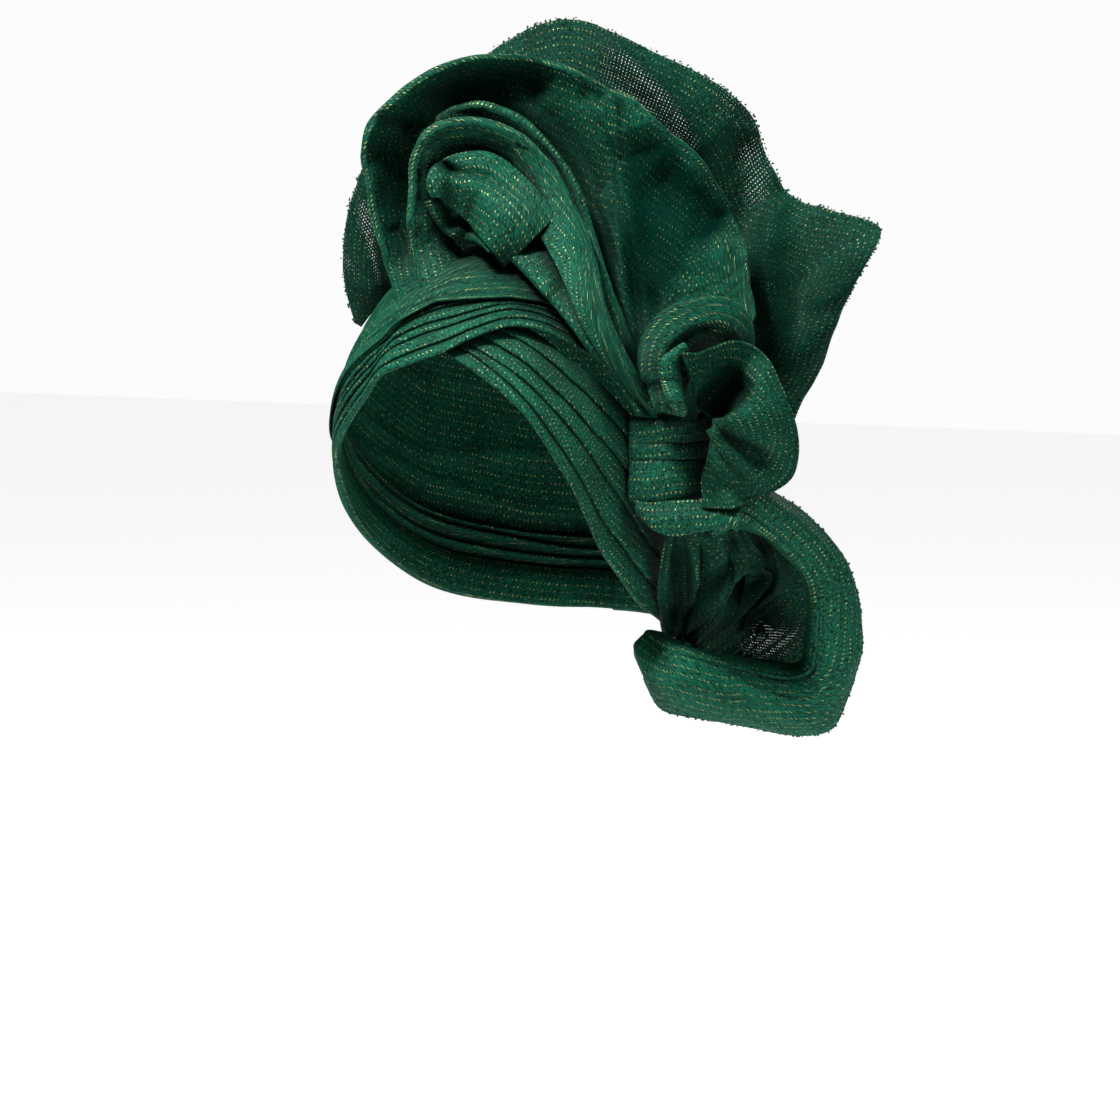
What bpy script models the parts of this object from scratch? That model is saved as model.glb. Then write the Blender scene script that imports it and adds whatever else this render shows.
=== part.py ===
"""A tied gele head tie: a pleated wrap for the head, with a side knot, a rosette, two fans and a tail."""

import math

import bmesh
import bpy
import numpy as np
from mathutils import Vector
from mathutils.bvhtree import BVHTree

# Head opening, in metres. The head faces -Y, +X is the wearer's left, and the origin is at its middle.
HEAD_BREADTH = 0.152
HEAD_LENGTH = 0.192
CROWN_HEIGHT = 0.078
NAPE_DROP = 0.092
NAPE_TAPER = 0.14

# Cloth, and the turns of it that are wound round the head
CLOTH = 0.0015
GAP = 0.0004
WOUND = 0.0026
PLEAT_STEP = 0.0012
PLEAT_BULGE = 0.0007
OVER_PLEATS = 5
UNDER_PLEATS = 5

# The flare is laid out in a plane that is turned from the face towards the wearer's left.
FLARE_TURN = math.radians(32)
FLARE_WIDTH = 0.250
FLARE_HEIGHT = 0.190
FLARE_DEPTH = 0.100
FAN_REACH = 0.113
FOLD_TURN = 0.0024

# Side knot: its mouth, and where the turn of cloth round it leaves the head and comes back
KNOT_SIDE = math.radians(76.5)
KNOT_START = math.radians(77)
KNOT_END = math.radians(110)
KNOT_LEVEL = 0.0143
KNOT_HEIGHT = 0.039
KNOT_REACH = 0.0255
KNOT_WALL = 0.0032
KNOT_SWELL = 0.0022
KNOT_FOLDS = 3
KNOT_BUNCH = 0.0100
SHELL_REACH = 0.050
GATHER = 0.0026

# Layers above the head form
BAND_OUTER = WOUND + PLEAT_STEP + PLEAT_BULGE
STACK = BAND_OUTER + GAP
COVER = BAND_OUTER + GAP + CLOTH
CROWN_PUFF = 0.0045

# How cloth is laid on the pieces under it: the probes round each point, and the room left
LAY_STEPS = ((0, 0), (1, 0), (-1, 0), (0, 1), (0, -1))
LAY_SPREAD = 0.004
LAY_ROOM = 0.0005
LAY_DEPTH = 0.042
LAP_ROOM = 0.0008
SETTLE_STEP = 0.0006
SETTLE_LIMIT = 40

# Lower and upper hems of the bands: angle round the head from the front, in degrees,
# then the two heights as shares of the crown's height or, below zero, of the nape's drop.
OVER_BAND = (
    # side, low, high
    (66, 0.53, 0.86),
    (56, 0.63, 0.89),
    (47, 0.70, 0.92),
    (35, 0.72, 0.94),
    (23, 0.66, 0.94),
    (12, 0.57, 0.93),
    (0, 0.50, 0.90),
    (-11, 0.42, 0.82),
    (-22, 0.26, 0.68),
    (-33, 0.08, 0.52),
    (-52, -0.17, 0.24),
    (-80, -0.56, -0.14),
    (-110, -0.85, -0.44),
    (-145, -0.96, -0.58),
    (-180, -0.98, -0.62),
    (-194, -0.975, -0.62),
)
UNDER_BAND = (
    # side, low, high
    (-6, 0.70, 0.84),
    (4, 0.63, 0.86),
    (12, 0.57, 0.84),
    (22, 0.49, 0.82),
    (33, 0.36, 0.77),
    (42, 0.20, 0.72),
    (50, -0.02, 0.64),
    (57, -0.21, 0.54),
    (65, -0.46, 0.42),
    (72, -0.60, 0.30),
    (84, -0.78, 0.06),
    (96, -0.88, -0.16),
    (110, -0.94, -0.36),
    (140, -0.97, -0.56),
    (178, -0.98, -0.62),
)
CROWN_RIM = (
    # side, height
    (-180, -0.54),
    (-145, -0.50),
    (-110, -0.36),
    (-80, -0.05),
    (-50, 0.31),
    (-31, 0.52),
    (-17, 0.68),
    (-7, 0.78),
    (2, 0.86),
    (17, 0.88),
    (35, 0.89),
    (50, 0.86),
    (62, 0.76),
    (75, 0.48),
    (90, 0.10),
    (110, -0.26),
    (145, -0.48),
    (180, -0.54),
)

# Folded strips: where the fold lies and where the free edge lies, measured from the knot's mouth
# as shares of the flare's width and height, and how far each stands out, as a share of its depth.
SLANT_PLEAT = (
    # fold across, fold rise, fold out, edge across, edge rise, edge out
    (-0.315, 0.425, 0.24, -0.235, 0.560, 0.16),
    (-0.250, 0.375, 0.36, -0.165, 0.500, 0.24),
    (-0.195, 0.305, 0.50, -0.120, 0.405, 0.30),
    (-0.135, 0.210, 0.62, -0.085, 0.280, 0.50),
    (-0.080, 0.110, 0.66, -0.050, 0.150, 0.60),
    (-0.040, 0.050, 0.66, -0.018, 0.060, 0.62),
    (-0.016, 0.005, 0.66, 0.002, 0.005, 0.64),
)
FRONT_FAN = (
    # fold across, fold rise, fold out, edge across, edge rise, edge out
    (-0.482, 0.262, 0.12, -0.430, 0.290, 0.08),
    (-0.490, 0.360, 0.14, -0.432, 0.375, 0.08),
    (-0.508, 0.480, 0.15, -0.440, 0.480, 0.02),
    (-0.520, 0.580, 0.17, -0.440, 0.560, 0.00),
    (-0.520, 0.685, 0.20, -0.435, 0.670, -0.02),
    (-0.440, 0.795, 0.22, -0.385, 0.715, -0.02),
    (-0.310, 0.870, 0.22, -0.275, 0.695, 0.00),
    (-0.160, 0.850, 0.20, -0.165, 0.605, 0.04),
    (-0.050, 0.785, 0.19, -0.100, 0.435, 0.16),
    (0.015, 0.720, 0.17, -0.045, 0.250, 0.43),
    (0.085, 0.645, 0.14, 0.015, 0.120, 0.53),
    (0.128, 0.570, 0.07, 0.058, 0.110, 0.49),
    (0.162, 0.490, 0.03, 0.090, 0.128, 0.42),
    (0.184, 0.410, 0.07, 0.118, 0.160, 0.36),
    (0.196, 0.325, 0.14, 0.142, 0.205, 0.30),
    (0.206, 0.235, 0.20, 0.166, 0.150, 0.30),
)
OUTER_PETAL = (
    # fold across, fold rise, fold out, edge across, edge rise, edge out
    (-0.395, 0.735, 0.04, -0.385, 0.700, 0.02),
    (-0.360, 0.745, 0.17, -0.352, 0.665, 0.06),
    (-0.310, 0.755, 0.26, -0.300, 0.650, 0.07),
    (-0.245, 0.730, 0.27, -0.265, 0.610, 0.08),
    (-0.185, 0.665, 0.27, -0.225, 0.550, 0.10),
    (-0.135, 0.570, 0.28, -0.185, 0.465, 0.14),
    (-0.095, 0.435, 0.32, -0.150, 0.365, 0.22),
    (-0.060, 0.280, 0.46, -0.110, 0.225, 0.40),
    (-0.010, 0.130, 0.56, -0.045, 0.105, 0.53),
    (0.050, 0.010, 0.56, 0.030, 0.010, 0.55),
)
MIDDLE_PETAL = (
    # fold across, fold rise, fold out, edge across, edge rise, edge out
    (-0.432, 0.335, 0.26, -0.345, 0.375, 0.18),
    (-0.440, 0.445, 0.34, -0.350, 0.430, 0.15),
    (-0.435, 0.555, 0.36, -0.365, 0.525, 0.12),
    (-0.425, 0.655, 0.36, -0.355, 0.580, 0.12),
    (-0.370, 0.715, 0.36, -0.345, 0.605, 0.14),
    (-0.310, 0.715, 0.36, -0.320, 0.600, 0.15),
    (-0.235, 0.680, 0.36, -0.290, 0.580, 0.16),
    (-0.175, 0.605, 0.36, -0.235, 0.510, 0.18),
    (-0.135, 0.510, 0.38, -0.190, 0.420, 0.22),
    (-0.100, 0.390, 0.42, -0.150, 0.315, 0.36),
    (-0.075, 0.255, 0.54, -0.110, 0.200, 0.52),
    (-0.030, 0.125, 0.60, -0.055, 0.100, 0.58),
    (0.026, 0.010, 0.61, 0.006, 0.010, 0.60),
)
HEART_FOLD = (
    # fold across, fold rise, fold out, edge across, edge rise, edge out
    (-0.400, 0.560, 0.37, -0.395, 0.530, 0.35),
    (-0.395, 0.600, 0.38, -0.380, 0.525, 0.36),
    (-0.355, 0.630, 0.39, -0.360, 0.505, 0.37),
    (-0.300, 0.635, 0.40, -0.340, 0.480, 0.38),
    (-0.245, 0.605, 0.40, -0.315, 0.450, 0.39),
    (-0.195, 0.560, 0.39, -0.290, 0.425, 0.39),
    (-0.160, 0.520, 0.38, -0.265, 0.395, 0.39),
)
HEART_LIP = (
    # fold across, fold rise, fold out, edge across, edge rise, edge out
    (-0.405, 0.525, 0.26, -0.385, 0.535, 0.17),
    (-0.390, 0.480, 0.29, -0.365, 0.520, 0.16),
    (-0.365, 0.440, 0.30, -0.345, 0.500, 0.16),
    (-0.325, 0.415, 0.31, -0.315, 0.475, 0.16),
    (-0.290, 0.400, 0.31, -0.285, 0.455, 0.18),
)
SIDE_HOOD = (
    # fold across, fold rise, fold out, edge across, edge rise, edge out
    (0.032, 0.014, 0.68, 0.056, 0.012, 0.62),
    (0.022, 0.080, 0.71, 0.072, 0.090, 0.54),
    (0.022, 0.145, 0.71, 0.086, 0.118, 0.48),
    (0.045, 0.195, 0.70, 0.100, 0.138, 0.46),
    (0.082, 0.228, 0.68, 0.118, 0.158, 0.45),
    (0.125, 0.240, 0.65, 0.133, 0.166, 0.44),
    (0.158, 0.225, 0.62, 0.145, 0.158, 0.44),
    (0.178, 0.190, 0.57, 0.154, 0.142, 0.45),
    (0.184, 0.150, 0.54, 0.162, 0.125, 0.46),
)
SIDE_LEAF = (
    # fold across, fold rise, fold out, edge across, edge rise, edge out
    (0.055, 0.012, 0.74, 0.074, 0.012, 0.73),
    (0.034, 0.065, 0.76, 0.062, 0.058, 0.74),
    (0.022, 0.130, 0.78, 0.060, 0.105, 0.76),
    (0.040, 0.160, 0.79, 0.065, 0.125, 0.77),
    (0.065, 0.180, 0.78, 0.075, 0.150, 0.77),
)
KNOT_TUCK = (
    # fold across, fold rise, fold out, edge across, edge rise, edge out
    (-0.012, -0.240, 0.70, -0.017, -0.205, 0.68),
    (0.010, -0.270, 0.71, 0.010, -0.202, 0.68),
    (0.050, -0.285, 0.71, 0.045, -0.199, 0.69),
    (0.085, -0.275, 0.69, 0.085, -0.197, 0.67),
    (0.122, -0.264, 0.66, 0.118, -0.196, 0.64),
    (0.168, -0.256, 0.59, 0.160, -0.190, 0.57),
)
TAIL_RIM = (
    # fold across, fold rise, fold out, edge across, edge rise, edge out
    (0.142, -0.232, 0.40, 0.192, -0.158, 0.34),
    (0.185, -0.262, 0.48, 0.240, -0.200, 0.41),
    (0.250, -0.330, 0.46, 0.300, -0.250, 0.38),
    (0.300, -0.405, 0.44, 0.375, -0.370, 0.36),
    (0.310, -0.470, 0.42, 0.400, -0.470, 0.34),
    (0.310, -0.555, 0.40, 0.405, -0.575, 0.32),
    (0.300, -0.625, 0.38, 0.385, -0.700, 0.30),
    (0.250, -0.640, 0.36, 0.330, -0.805, 0.28),
    (0.185, -0.620, 0.34, 0.225, -0.785, 0.27),
    (0.130, -0.605, 0.32, 0.125, -0.765, 0.26),
    (0.080, -0.580, 0.30, 0.060, -0.745, 0.25),
    (0.042, -0.570, 0.24, 0.018, -0.725, 0.19),
    (0.010, -0.565, 0.14, -0.004, -0.665, 0.10),
)

# Ribs of the tail's gathers: head and foot of each, in the same shares, and how far it bows across and out
TAIL_RIBS = (
    # head across, head rise, head out, foot across, foot rise, foot out, bow, bulge
    (0.045, -0.225, 0.62, 0.035, -0.565, 0.22, -0.015, 0.02),
    (0.065, -0.222, 0.65, 0.075, -0.575, 0.20, 0.005, 0.04),
    (0.090, -0.220, 0.64, 0.080, -0.585, 0.18, 0.035, 0.05),
    (0.115, -0.220, 0.60, 0.090, -0.595, 0.16, 0.065, 0.03),
    (0.140, -0.220, 0.54, 0.105, -0.610, 0.15, 0.095, -0.02),
    (0.165, -0.222, 0.45, 0.130, -0.630, 0.14, 0.125, -0.08),
    (0.190, -0.225, 0.36, 0.180, -0.660, 0.13, 0.150, -0.14),
    (0.215, -0.230, 0.27, 0.240, -0.700, 0.12, 0.160, -0.16),
)

# The back fan, by angle above the wearer's left: how far its hem stands off the head,
# as a share of its reach, and how far the hem stands out, as a share of the flare's depth.
BACK_FAN = (
    # angle, reach, out
    (145, 0.05, -0.20),
    (139, 0.20, -0.22),
    (128, 0.40, -0.25),
    (119, 0.55, -0.28),
    (109, 0.69, -0.32),
    (96, 0.84, -0.36),
    (83, 1.00, -0.32),
    (72, 0.95, -0.26),
    (60, 0.94, -0.22),
    (52, 0.90, -0.28),
    (45, 0.78, -0.38),
    (39, 0.81, -0.34),
    (32, 0.94, -0.24),
    (28, 1.00, -0.18),
    (22, 0.68, -0.20),
    (16, 0.61, -0.22),
    (6, 0.44, -0.24),
    (1, 0.39, -0.24),
)

# The side rosette's shell, by angle round the knot's mouth: its reach as a share,
# and how far its rim and its middle stand out, as shares of the flare's depth.
SIDE_SHELL = (
    # angle, reach, root out, middle out, rim out
    (108, 0.64, 0.70, 0.76, 0.76),
    (88, 0.62, 0.70, 0.72, 0.74),
    (68, 0.76, 0.70, 0.66, 0.66),
    (50, 0.80, 0.71, 0.64, 0.60),
    (28, 0.78, 0.74, 0.76, 0.64),
    (5, 0.80, 0.77, 0.82, 0.66),
    (-16, 0.91, 0.79, 0.76, 0.62),
    (-33, 1.00, 0.80, 0.72, 0.58),
    (-48, 0.95, 0.81, 0.80, 0.60),
    (-66, 0.84, 0.82, 0.84, 0.66),
    (-84, 0.81, 0.83, 0.82, 0.69),
)

# The folded strips in the order they are laid. Steps are across the face, round the fold and down
# the back; back is the flap's share of the flare's width, belly the face's swell as a share of its own.
ON_HEAD = ("crown_wrap", "over_band", "under_band")
STRIPS = (
    # name, rows, stations, steps, back, belly, fold over in degrees, pieces it lies on
    ("front_fan", FRONT_FAN, 26, (6, 3, 3), 0.120, -0.03, 150, (*ON_HEAD, "back_fan")),
    ("outer_petal", OUTER_PETAL, 18, (4, 3, 2), 0.040, 0.04, 172, (*ON_HEAD, "front_fan")),
    ("slant_pleat", SLANT_PLEAT, 12, (4, 3, 2), 0.040, 0.02, 172, (*ON_HEAD, "front_fan", "outer_petal")),
    ("middle_petal", MIDDLE_PETAL, 20, (4, 3, 2), 0.048, 0.05, 172,
     (*ON_HEAD, "front_fan", "outer_petal", "slant_pleat")),
    ("heart_lip", HEART_LIP, 8, (3, 3, 2), 0.024, 0.0, 172,
     (*ON_HEAD, "front_fan", "outer_petal", "slant_pleat", "middle_petal")),
    ("heart_fold", HEART_FOLD, 10, (4, 3, 2), 0.048, 0.10, 172,
     (*ON_HEAD, "front_fan", "outer_petal", "slant_pleat", "middle_petal", "heart_lip")),
    ("tail_rim", TAIL_RIM, 16, (5, 3, 3), 0.088, 0.06, 100, (*ON_HEAD, "tail_gathers")),
    ("knot_tuck", KNOT_TUCK, 9, (4, 3, 2), 0.032, 0.12, 172, (*ON_HEAD, "tail_gathers", "tail_rim")),
    ("side_hood", SIDE_HOOD, 12, (4, 3, 3), 0.064, 0.05, 62,
     (*ON_HEAD, "front_fan", "outer_petal", "middle_petal", "slant_pleat")),
    ("side_leaf", SIDE_LEAF, 8, (3, 3, 2), 0.024, 0.05, 172, ("side_hood", "middle_petal", "outer_petal")),
)
SHELL_ON = ("side_hood", "side_leaf", "knot_wrap", "knot_tuck", "tail_rim", "tail_gathers")
OPEN_WOVEN = ("back_fan", "tail_rim", "tail_gathers")


def smooth_rows(rows, count):
    """Rows of a table, taken at even steps along a smooth curve through them."""
    table = np.array(rows, dtype=float)
    padded = np.vstack([2 * table[0] - table[1], table, 2 * table[-1] - table[-2]])
    curve = []
    for start in range(len(table) - 1):
        before, first, second, after = padded[start:start + 4]
        for t in np.linspace(0.0, 1.0, 12, endpoint=False):
            bend = 2 * before - 5 * first + 4 * second - after
            twist = 3 * first - before - 3 * second + after
            curve.append(first + 0.5 * t * (second - before + t * (bend + t * twist)))
    curve.append(table[-1])
    curve = np.array(curve)
    spans = np.linalg.norm(np.diff(curve / np.ptp(curve, axis=0).max(), axis=0), axis=1)
    length = np.concatenate([[0.0], np.cumsum(spans)])
    wanted = np.linspace(0.0, length[-1], count)
    return np.column_stack([np.interp(wanted, length, column) for column in curve.T])


def level(share):
    """A height above or below the head's widest plane."""
    return share * (CROWN_HEIGHT if share > 0 else NAPE_DROP)


def head_point(side, height, lift):
    """A point on the head form raised by a lift. The side is an angle from the front."""
    if height > 0:
        girth = math.sqrt(max(0.0, 1 - (height / (CROWN_HEIGHT + lift)) ** 2))
    else:
        girth = 1 - NAPE_TAPER * (height / NAPE_DROP) ** 2
    x = (HEAD_BREADTH / 2 + lift) * girth * math.sin(side)
    y = -(HEAD_LENGTH / 2 + lift) * girth * math.cos(side)
    return (x, y, height)


def head_side(angle, out, lift):
    """The raised head form's radius in the flare's plane, at an angle and a distance out."""
    a = HEAD_BREADTH / 2 + lift
    b = HEAD_LENGTH / 2 + lift
    c = CROWN_HEIGHT + lift
    sine = math.sin(FLARE_TURN)
    cosine = math.cos(FLARE_TURN)
    square = math.cos(angle) ** 2 * ((cosine / a) ** 2 + (sine / b) ** 2) + (math.sin(angle) / c) ** 2
    linear = 2 * math.cos(angle) * out * sine * cosine * (1 / a ** 2 - 1 / b ** 2)
    rest = out ** 2 * ((sine / a) ** 2 + (cosine / b) ** 2) - 1
    return (-linear + math.sqrt(linear ** 2 - 4 * square * rest)) / (2 * square)


def from_flare(points):
    """Points given across, up and out of the flare's plane, turned into the head's own axes."""
    points = np.asarray(points, dtype=float)
    across = points[..., 0]
    height = points[..., 1]
    out = points[..., 2]
    x = across * math.cos(FLARE_TURN) + out * math.sin(FLARE_TURN)
    y = across * math.sin(FLARE_TURN) - out * math.cos(FLARE_TURN)
    return np.stack([x, y, height], axis=-1)


def knot_mouth():
    """The knot's mouth, across, up and out of the flare's plane."""
    x, y, height = head_point(KNOT_SIDE, KNOT_LEVEL, BAND_OUTER + KNOT_BUNCH)
    across = x * math.cos(FLARE_TURN) + y * math.sin(FLARE_TURN)
    out = x * math.sin(FLARE_TURN) - y * math.cos(FLARE_TURN)
    return np.array([across, height, out])


def flare_points(shares):
    """Rows of shares (across, rise, out) as points in the flare's plane."""
    mouth = knot_mouth()
    across = mouth[0] + shares[:, 0] * FLARE_WIDTH
    height = mouth[1] + shares[:, 1] * FLARE_HEIGHT
    return np.stack([across, height, shares[:, 2] * FLARE_DEPTH], axis=1)


def to_flare(points):
    """Points in the head's own axes, turned into the flare's plane."""
    points = np.asarray(points, dtype=float)
    x = points[..., 0]
    y = points[..., 1]
    across = x * math.cos(FLARE_TURN) + y * math.sin(FLARE_TURN)
    out = x * math.sin(FLARE_TURN) - y * math.cos(FLARE_TURN)
    return np.stack([across, points[..., 2], out], axis=-1)


def underlay(piece):
    """A finished piece as a surface that later cloth lies on, and half its sheet's thickness."""
    points = to_flare([vertex.co for vertex in piece.data.vertices])
    faces = [tuple(face.vertices) for face in piece.data.polygons]
    tree = BVHTree.FromPolygons([Vector(point) for point in points], faces)
    return (tree, CLOTH / 2 if piece.modifiers else 0.0)


def laid_on(point, lift, under):
    """A point brought forward until it clears every piece that it lies on."""
    across, height, out = point
    for tree, half_thickness in under:
        for step_across, step_up in LAY_STEPS:
            start = Vector((across + step_across * LAY_SPREAD, height + step_up * LAY_SPREAD, 0.3))
            place = tree.ray_cast(start, Vector((0.0, 0.0, -1.0)))[0]
            if place is not None and place.z - out < LAY_DEPTH:
                out = max(out, place.z + half_thickness + CLOTH / 2 + GAP + LAY_ROOM + lift)
    return np.array([across, height, out])


def solid_of(piece):
    """The piece with its modifiers, as triangles in the flare's plane and the points they join."""
    shape = piece.evaluated_get(bpy.context.evaluated_depsgraph_get()).to_mesh()
    shape.calc_loop_triangles()
    points = to_flare([vertex.co for vertex in shape.vertices])
    faces = [tuple(face.vertices) for face in shape.loop_triangles]
    piece.evaluated_get(bpy.context.evaluated_depsgraph_get()).to_mesh_clear()
    return points, faces


def solid_tree(piece):
    points, faces = solid_of(piece)
    return BVHTree.FromPolygons([Vector(point) for point in points], faces)


def settle(piece, columns, clear_of):
    """Rows of a sheet moved outwards, a little at a time, until it runs into none of the pieces given."""
    trees = [solid_tree(other) for other in clear_of]
    count = len(piece.data.vertices)
    rows = count // columns
    for attempt in range(SETTLE_LIMIT):
        points, faces = solid_of(piece)
        tree = BVHTree.FromPolygons([Vector(point) for point in points], faces)
        hit = np.zeros(rows)
        for other in trees:
            for face, touched in tree.overlap(other):
                for corner in faces[face]:
                    hit[(corner % count) // columns] = 1.0
        if not hit.any():
            return
        spread = hit.copy()
        spread[1:] = np.maximum(spread[1:], 0.5 * hit[:-1])
        spread[:-1] = np.maximum(spread[:-1], 0.5 * hit[1:])
        for index, vertex in enumerate(piece.data.vertices):
            across, height, out = to_flare(vertex.co)
            away = unit(np.array([0.3 * across, 0.3 * max(height, 0.0), FLARE_DEPTH]))
            vertex.co += Vector(from_flare(away)) * (SETTLE_STEP * spread[index // columns])


def unit(vectors):
    return vectors / np.maximum(np.linalg.norm(vectors, axis=-1, keepdims=True), 1e-9)


def strip_rails(rows, stations, under):
    """The fold and the free edge of a strip, in the flare's plane, laid on what is under them."""
    rails = smooth_rows(rows, stations)
    fold = np.array([laid_on(point, 2 * FOLD_TURN, under) for point in flare_points(rails[:, 0:3])])
    edge = np.array([laid_on(point, 0.0, under) for point in flare_points(rails[:, 3:6])])
    return fold, edge


def fold_grid(fold, edge, steps, back, belly, fold_over):
    """A strip folded over at one side: a face from the free edge to the fold, and a back behind it."""
    face_steps, turn_steps, back_steps = steps
    along = unit(np.gradient((fold + edge) / 2, axis=0))
    across = unit(fold - edge)
    normal = unit(np.cross(across, along))
    normal *= np.sign(normal[:, 2:3])
    width = np.linalg.norm(fold - edge, axis=1)
    last = math.radians(90 - fold_over)
    grid = []
    for row in range(len(fold)):
        turn = min(FOLD_TURN, 0.28 * width[row])
        flap = min(back * FLARE_WIDTH, 0.45 * width[row])
        line = []
        for t in np.linspace(0.0, 1.0, face_steps):
            rise = turn * t * t * (3 - 2 * t) + belly * width[row] * math.sin(math.pi * t)
            line.append((t * (width[row] - turn), rise))
        for share in np.linspace(0.0, 1.0, turn_steps + 2)[1:-1]:
            angle = math.radians(90 - share * fold_over)
            line.append((width[row] - turn + turn * math.cos(angle), turn * math.sin(angle)))
        for t in np.linspace(0.0, 1.0, back_steps):
            run = width[row] - turn + turn * math.cos(last) + t * flap * math.sin(last)
            line.append((run, turn * math.sin(last) - t * flap * math.cos(last)))
        grid.append([edge[row] + across[row] * run + normal[row] * rise for run, rise in line])
    return np.array(grid)


def grid_mesh(name, grid, thickness):
    """A closed sheet from a grid of points in the head's axes, half its thickness to each side."""
    rows, columns = grid.shape[:2]
    mesh = bpy.data.meshes.new(name)
    build = bmesh.new()
    corners = [[build.verts.new(point) for point in line] for line in grid]
    for i in range(rows - 1):
        for j in range(columns - 1):
            build.faces.new((corners[i][j], corners[i + 1][j], corners[i + 1][j + 1], corners[i][j + 1]))
    build.to_mesh(mesh)
    build.free()
    sheet = add_object(name, mesh)
    solidify = sheet.modifiers.new("cloth", "SOLIDIFY")
    solidify.thickness = thickness
    solidify.offset = 0.0
    solidify.use_even_offset = False
    return sheet


def add_object(name, mesh):
    piece = bpy.data.objects.new(name, mesh)
    bpy.context.collection.objects.link(piece)
    return piece


def loop_mesh(name, loops):
    """A closed body lofted through closed loops of points, with a flat cap at each end."""
    mesh = bpy.data.meshes.new(name)
    build = bmesh.new()
    rings = [[build.verts.new(point) for point in loop] for loop in loops]
    size = len(rings[0])
    for first, second in zip(rings, rings[1:]):
        for j in range(size):
            k = (j + 1) % size
            build.faces.new((first[j], first[k], second[k], second[j]))
    half = size // 2
    for ring in (rings[0], rings[-1]):
        for j in range(half - 1):
            build.faces.new((ring[j], ring[j + 1], ring[size - 2 - j], ring[size - 1 - j]))
    bmesh.ops.recalc_face_normals(build, faces=build.faces)
    build.to_mesh(mesh)
    build.free()
    return add_object(name, mesh)


def ramp(value, start, end):
    t = min(1.0, max(0.0, (value - start) / (end - start)))
    return t * t * (3 - 2 * t)


def stacked(side):
    """How much of the over band lies on the under band at an angle in degrees: 0 for none, 1 for all."""
    front = ramp(side, -22, -9) - ramp(side, 67, 78)
    nape = ramp(abs(side), 158, 172)
    return max(front, nape)


def pleat_profile(pleats):
    """Shares up a band and the lift of its outer face: each pleat laps over the one below."""
    profile = []
    for pleat in range(pleats):
        for t in (0.02, 0.5, 0.98):
            lift = WOUND + PLEAT_STEP * (1 - t) + PLEAT_BULGE * math.sin(math.pi * t)
            profile.append(((pleat + t) / pleats, lift))
    return profile


def wound_band(name, rows, pleats, stations, over):
    """A pleated band wound round the head, from one end of its table to the other."""
    hems = smooth_rows(rows, stations)
    profile = pleat_profile(pleats)
    loops = []
    for side, low, high in hems:
        base = STACK * stacked(side) if over else 0.0
        outer = []
        inner = []
        for share, lift in profile:
            height = level(low + share * (high - low))
            outer.append(head_point(math.radians(side), height, base + lift))
            inner.append(head_point(math.radians(side), height, base))
        loops.append(outer + inner[::-1])
    return loop_mesh(name, loops)


def dome_point(side, turn, lift):
    """A point on the raised crown. The turn is its angle above the head's widest plane."""
    x = (HEAD_BREADTH / 2 + lift) * math.cos(turn) * math.sin(side)
    y = -(HEAD_LENGTH / 2 + lift) * math.cos(turn) * math.cos(side)
    return (x, y, (CROWN_HEIGHT + lift) * math.sin(turn))


def crown_line(degrees, rings):
    """Points up the crown at an angle round the head, from its rim to just short of the top."""
    table = np.array(CROWN_RIM, dtype=float)
    side = math.radians(degrees)
    rim = level(np.interp(degrees, table[:, 0], table[:, 1]))
    lip = BAND_OUTER + GAP + LAP_ROOM + STACK * stacked(degrees) + CLOTH / 2
    start = math.asin(rim / (CROWN_HEIGHT + lip)) if rim > 0 else rim / CROWN_HEIGHT
    line = []
    for ring in range(rings):
        t = ring / rings
        turn = start + t * (math.pi / 2 - start)
        lift = lip + (COVER + STACK + CROWN_PUFF - CLOTH / 2 - lip) * ramp(t, 0.10, 0.70)
        if turn > 0:
            line.append(dome_point(side, turn, lift))
        else:
            line.append(head_point(side, CROWN_HEIGHT * turn, lift))
    return line


def crown_wrap(spokes, rings):
    """The sheet that closes the crown and laps over the tops of both bands."""
    mesh = bpy.data.meshes.new("crown_wrap")
    build = bmesh.new()
    lines = []
    for degrees in np.linspace(-180, 180, spokes, endpoint=False):
        lines.append([build.verts.new(point) for point in crown_line(degrees, rings)])
    top = build.verts.new(dome_point(0.0, math.pi / 2, COVER + STACK + CROWN_PUFF - CLOTH / 2))
    for i in range(spokes):
        j = (i + 1) % spokes
        for ring in range(rings - 1):
            build.faces.new((lines[i][ring], lines[j][ring], lines[j][ring + 1], lines[i][ring + 1]))
        build.faces.new((lines[i][-1], lines[j][-1], top))
    build.to_mesh(mesh)
    build.free()
    sheet = add_object("crown_wrap", mesh)
    solidify = sheet.modifiers.new("cloth", "SOLIDIFY")
    solidify.thickness = CLOTH
    solidify.offset = 0.0
    return sheet


def back_fan(stations, steps):
    """The open sheet that flares behind: a grid of rays from the crown to its hem."""
    grid = []
    root_out = -0.20 * FLARE_DEPTH
    for angle, reach, out in smooth_rows(BACK_FAN, stations):
        turn = math.radians(angle)
        foot = head_side(turn, root_out, COVER + STACK + CROWN_PUFF + GAP)
        rim = CROWN_HEIGHT + STACK + BAND_OUTER + reach * FAN_REACH
        line = []
        for t in np.linspace(0.0, 1.0, steps):
            radius = foot + (max(rim, foot + 0.004) - foot) * t
            depth = root_out + (out * FLARE_DEPTH - root_out) * t * t
            line.append((radius * math.cos(turn), radius * math.sin(turn), depth))
        grid.append(line)
    return grid_mesh("back_fan", from_flare(np.array(grid)), CLOTH)


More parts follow.
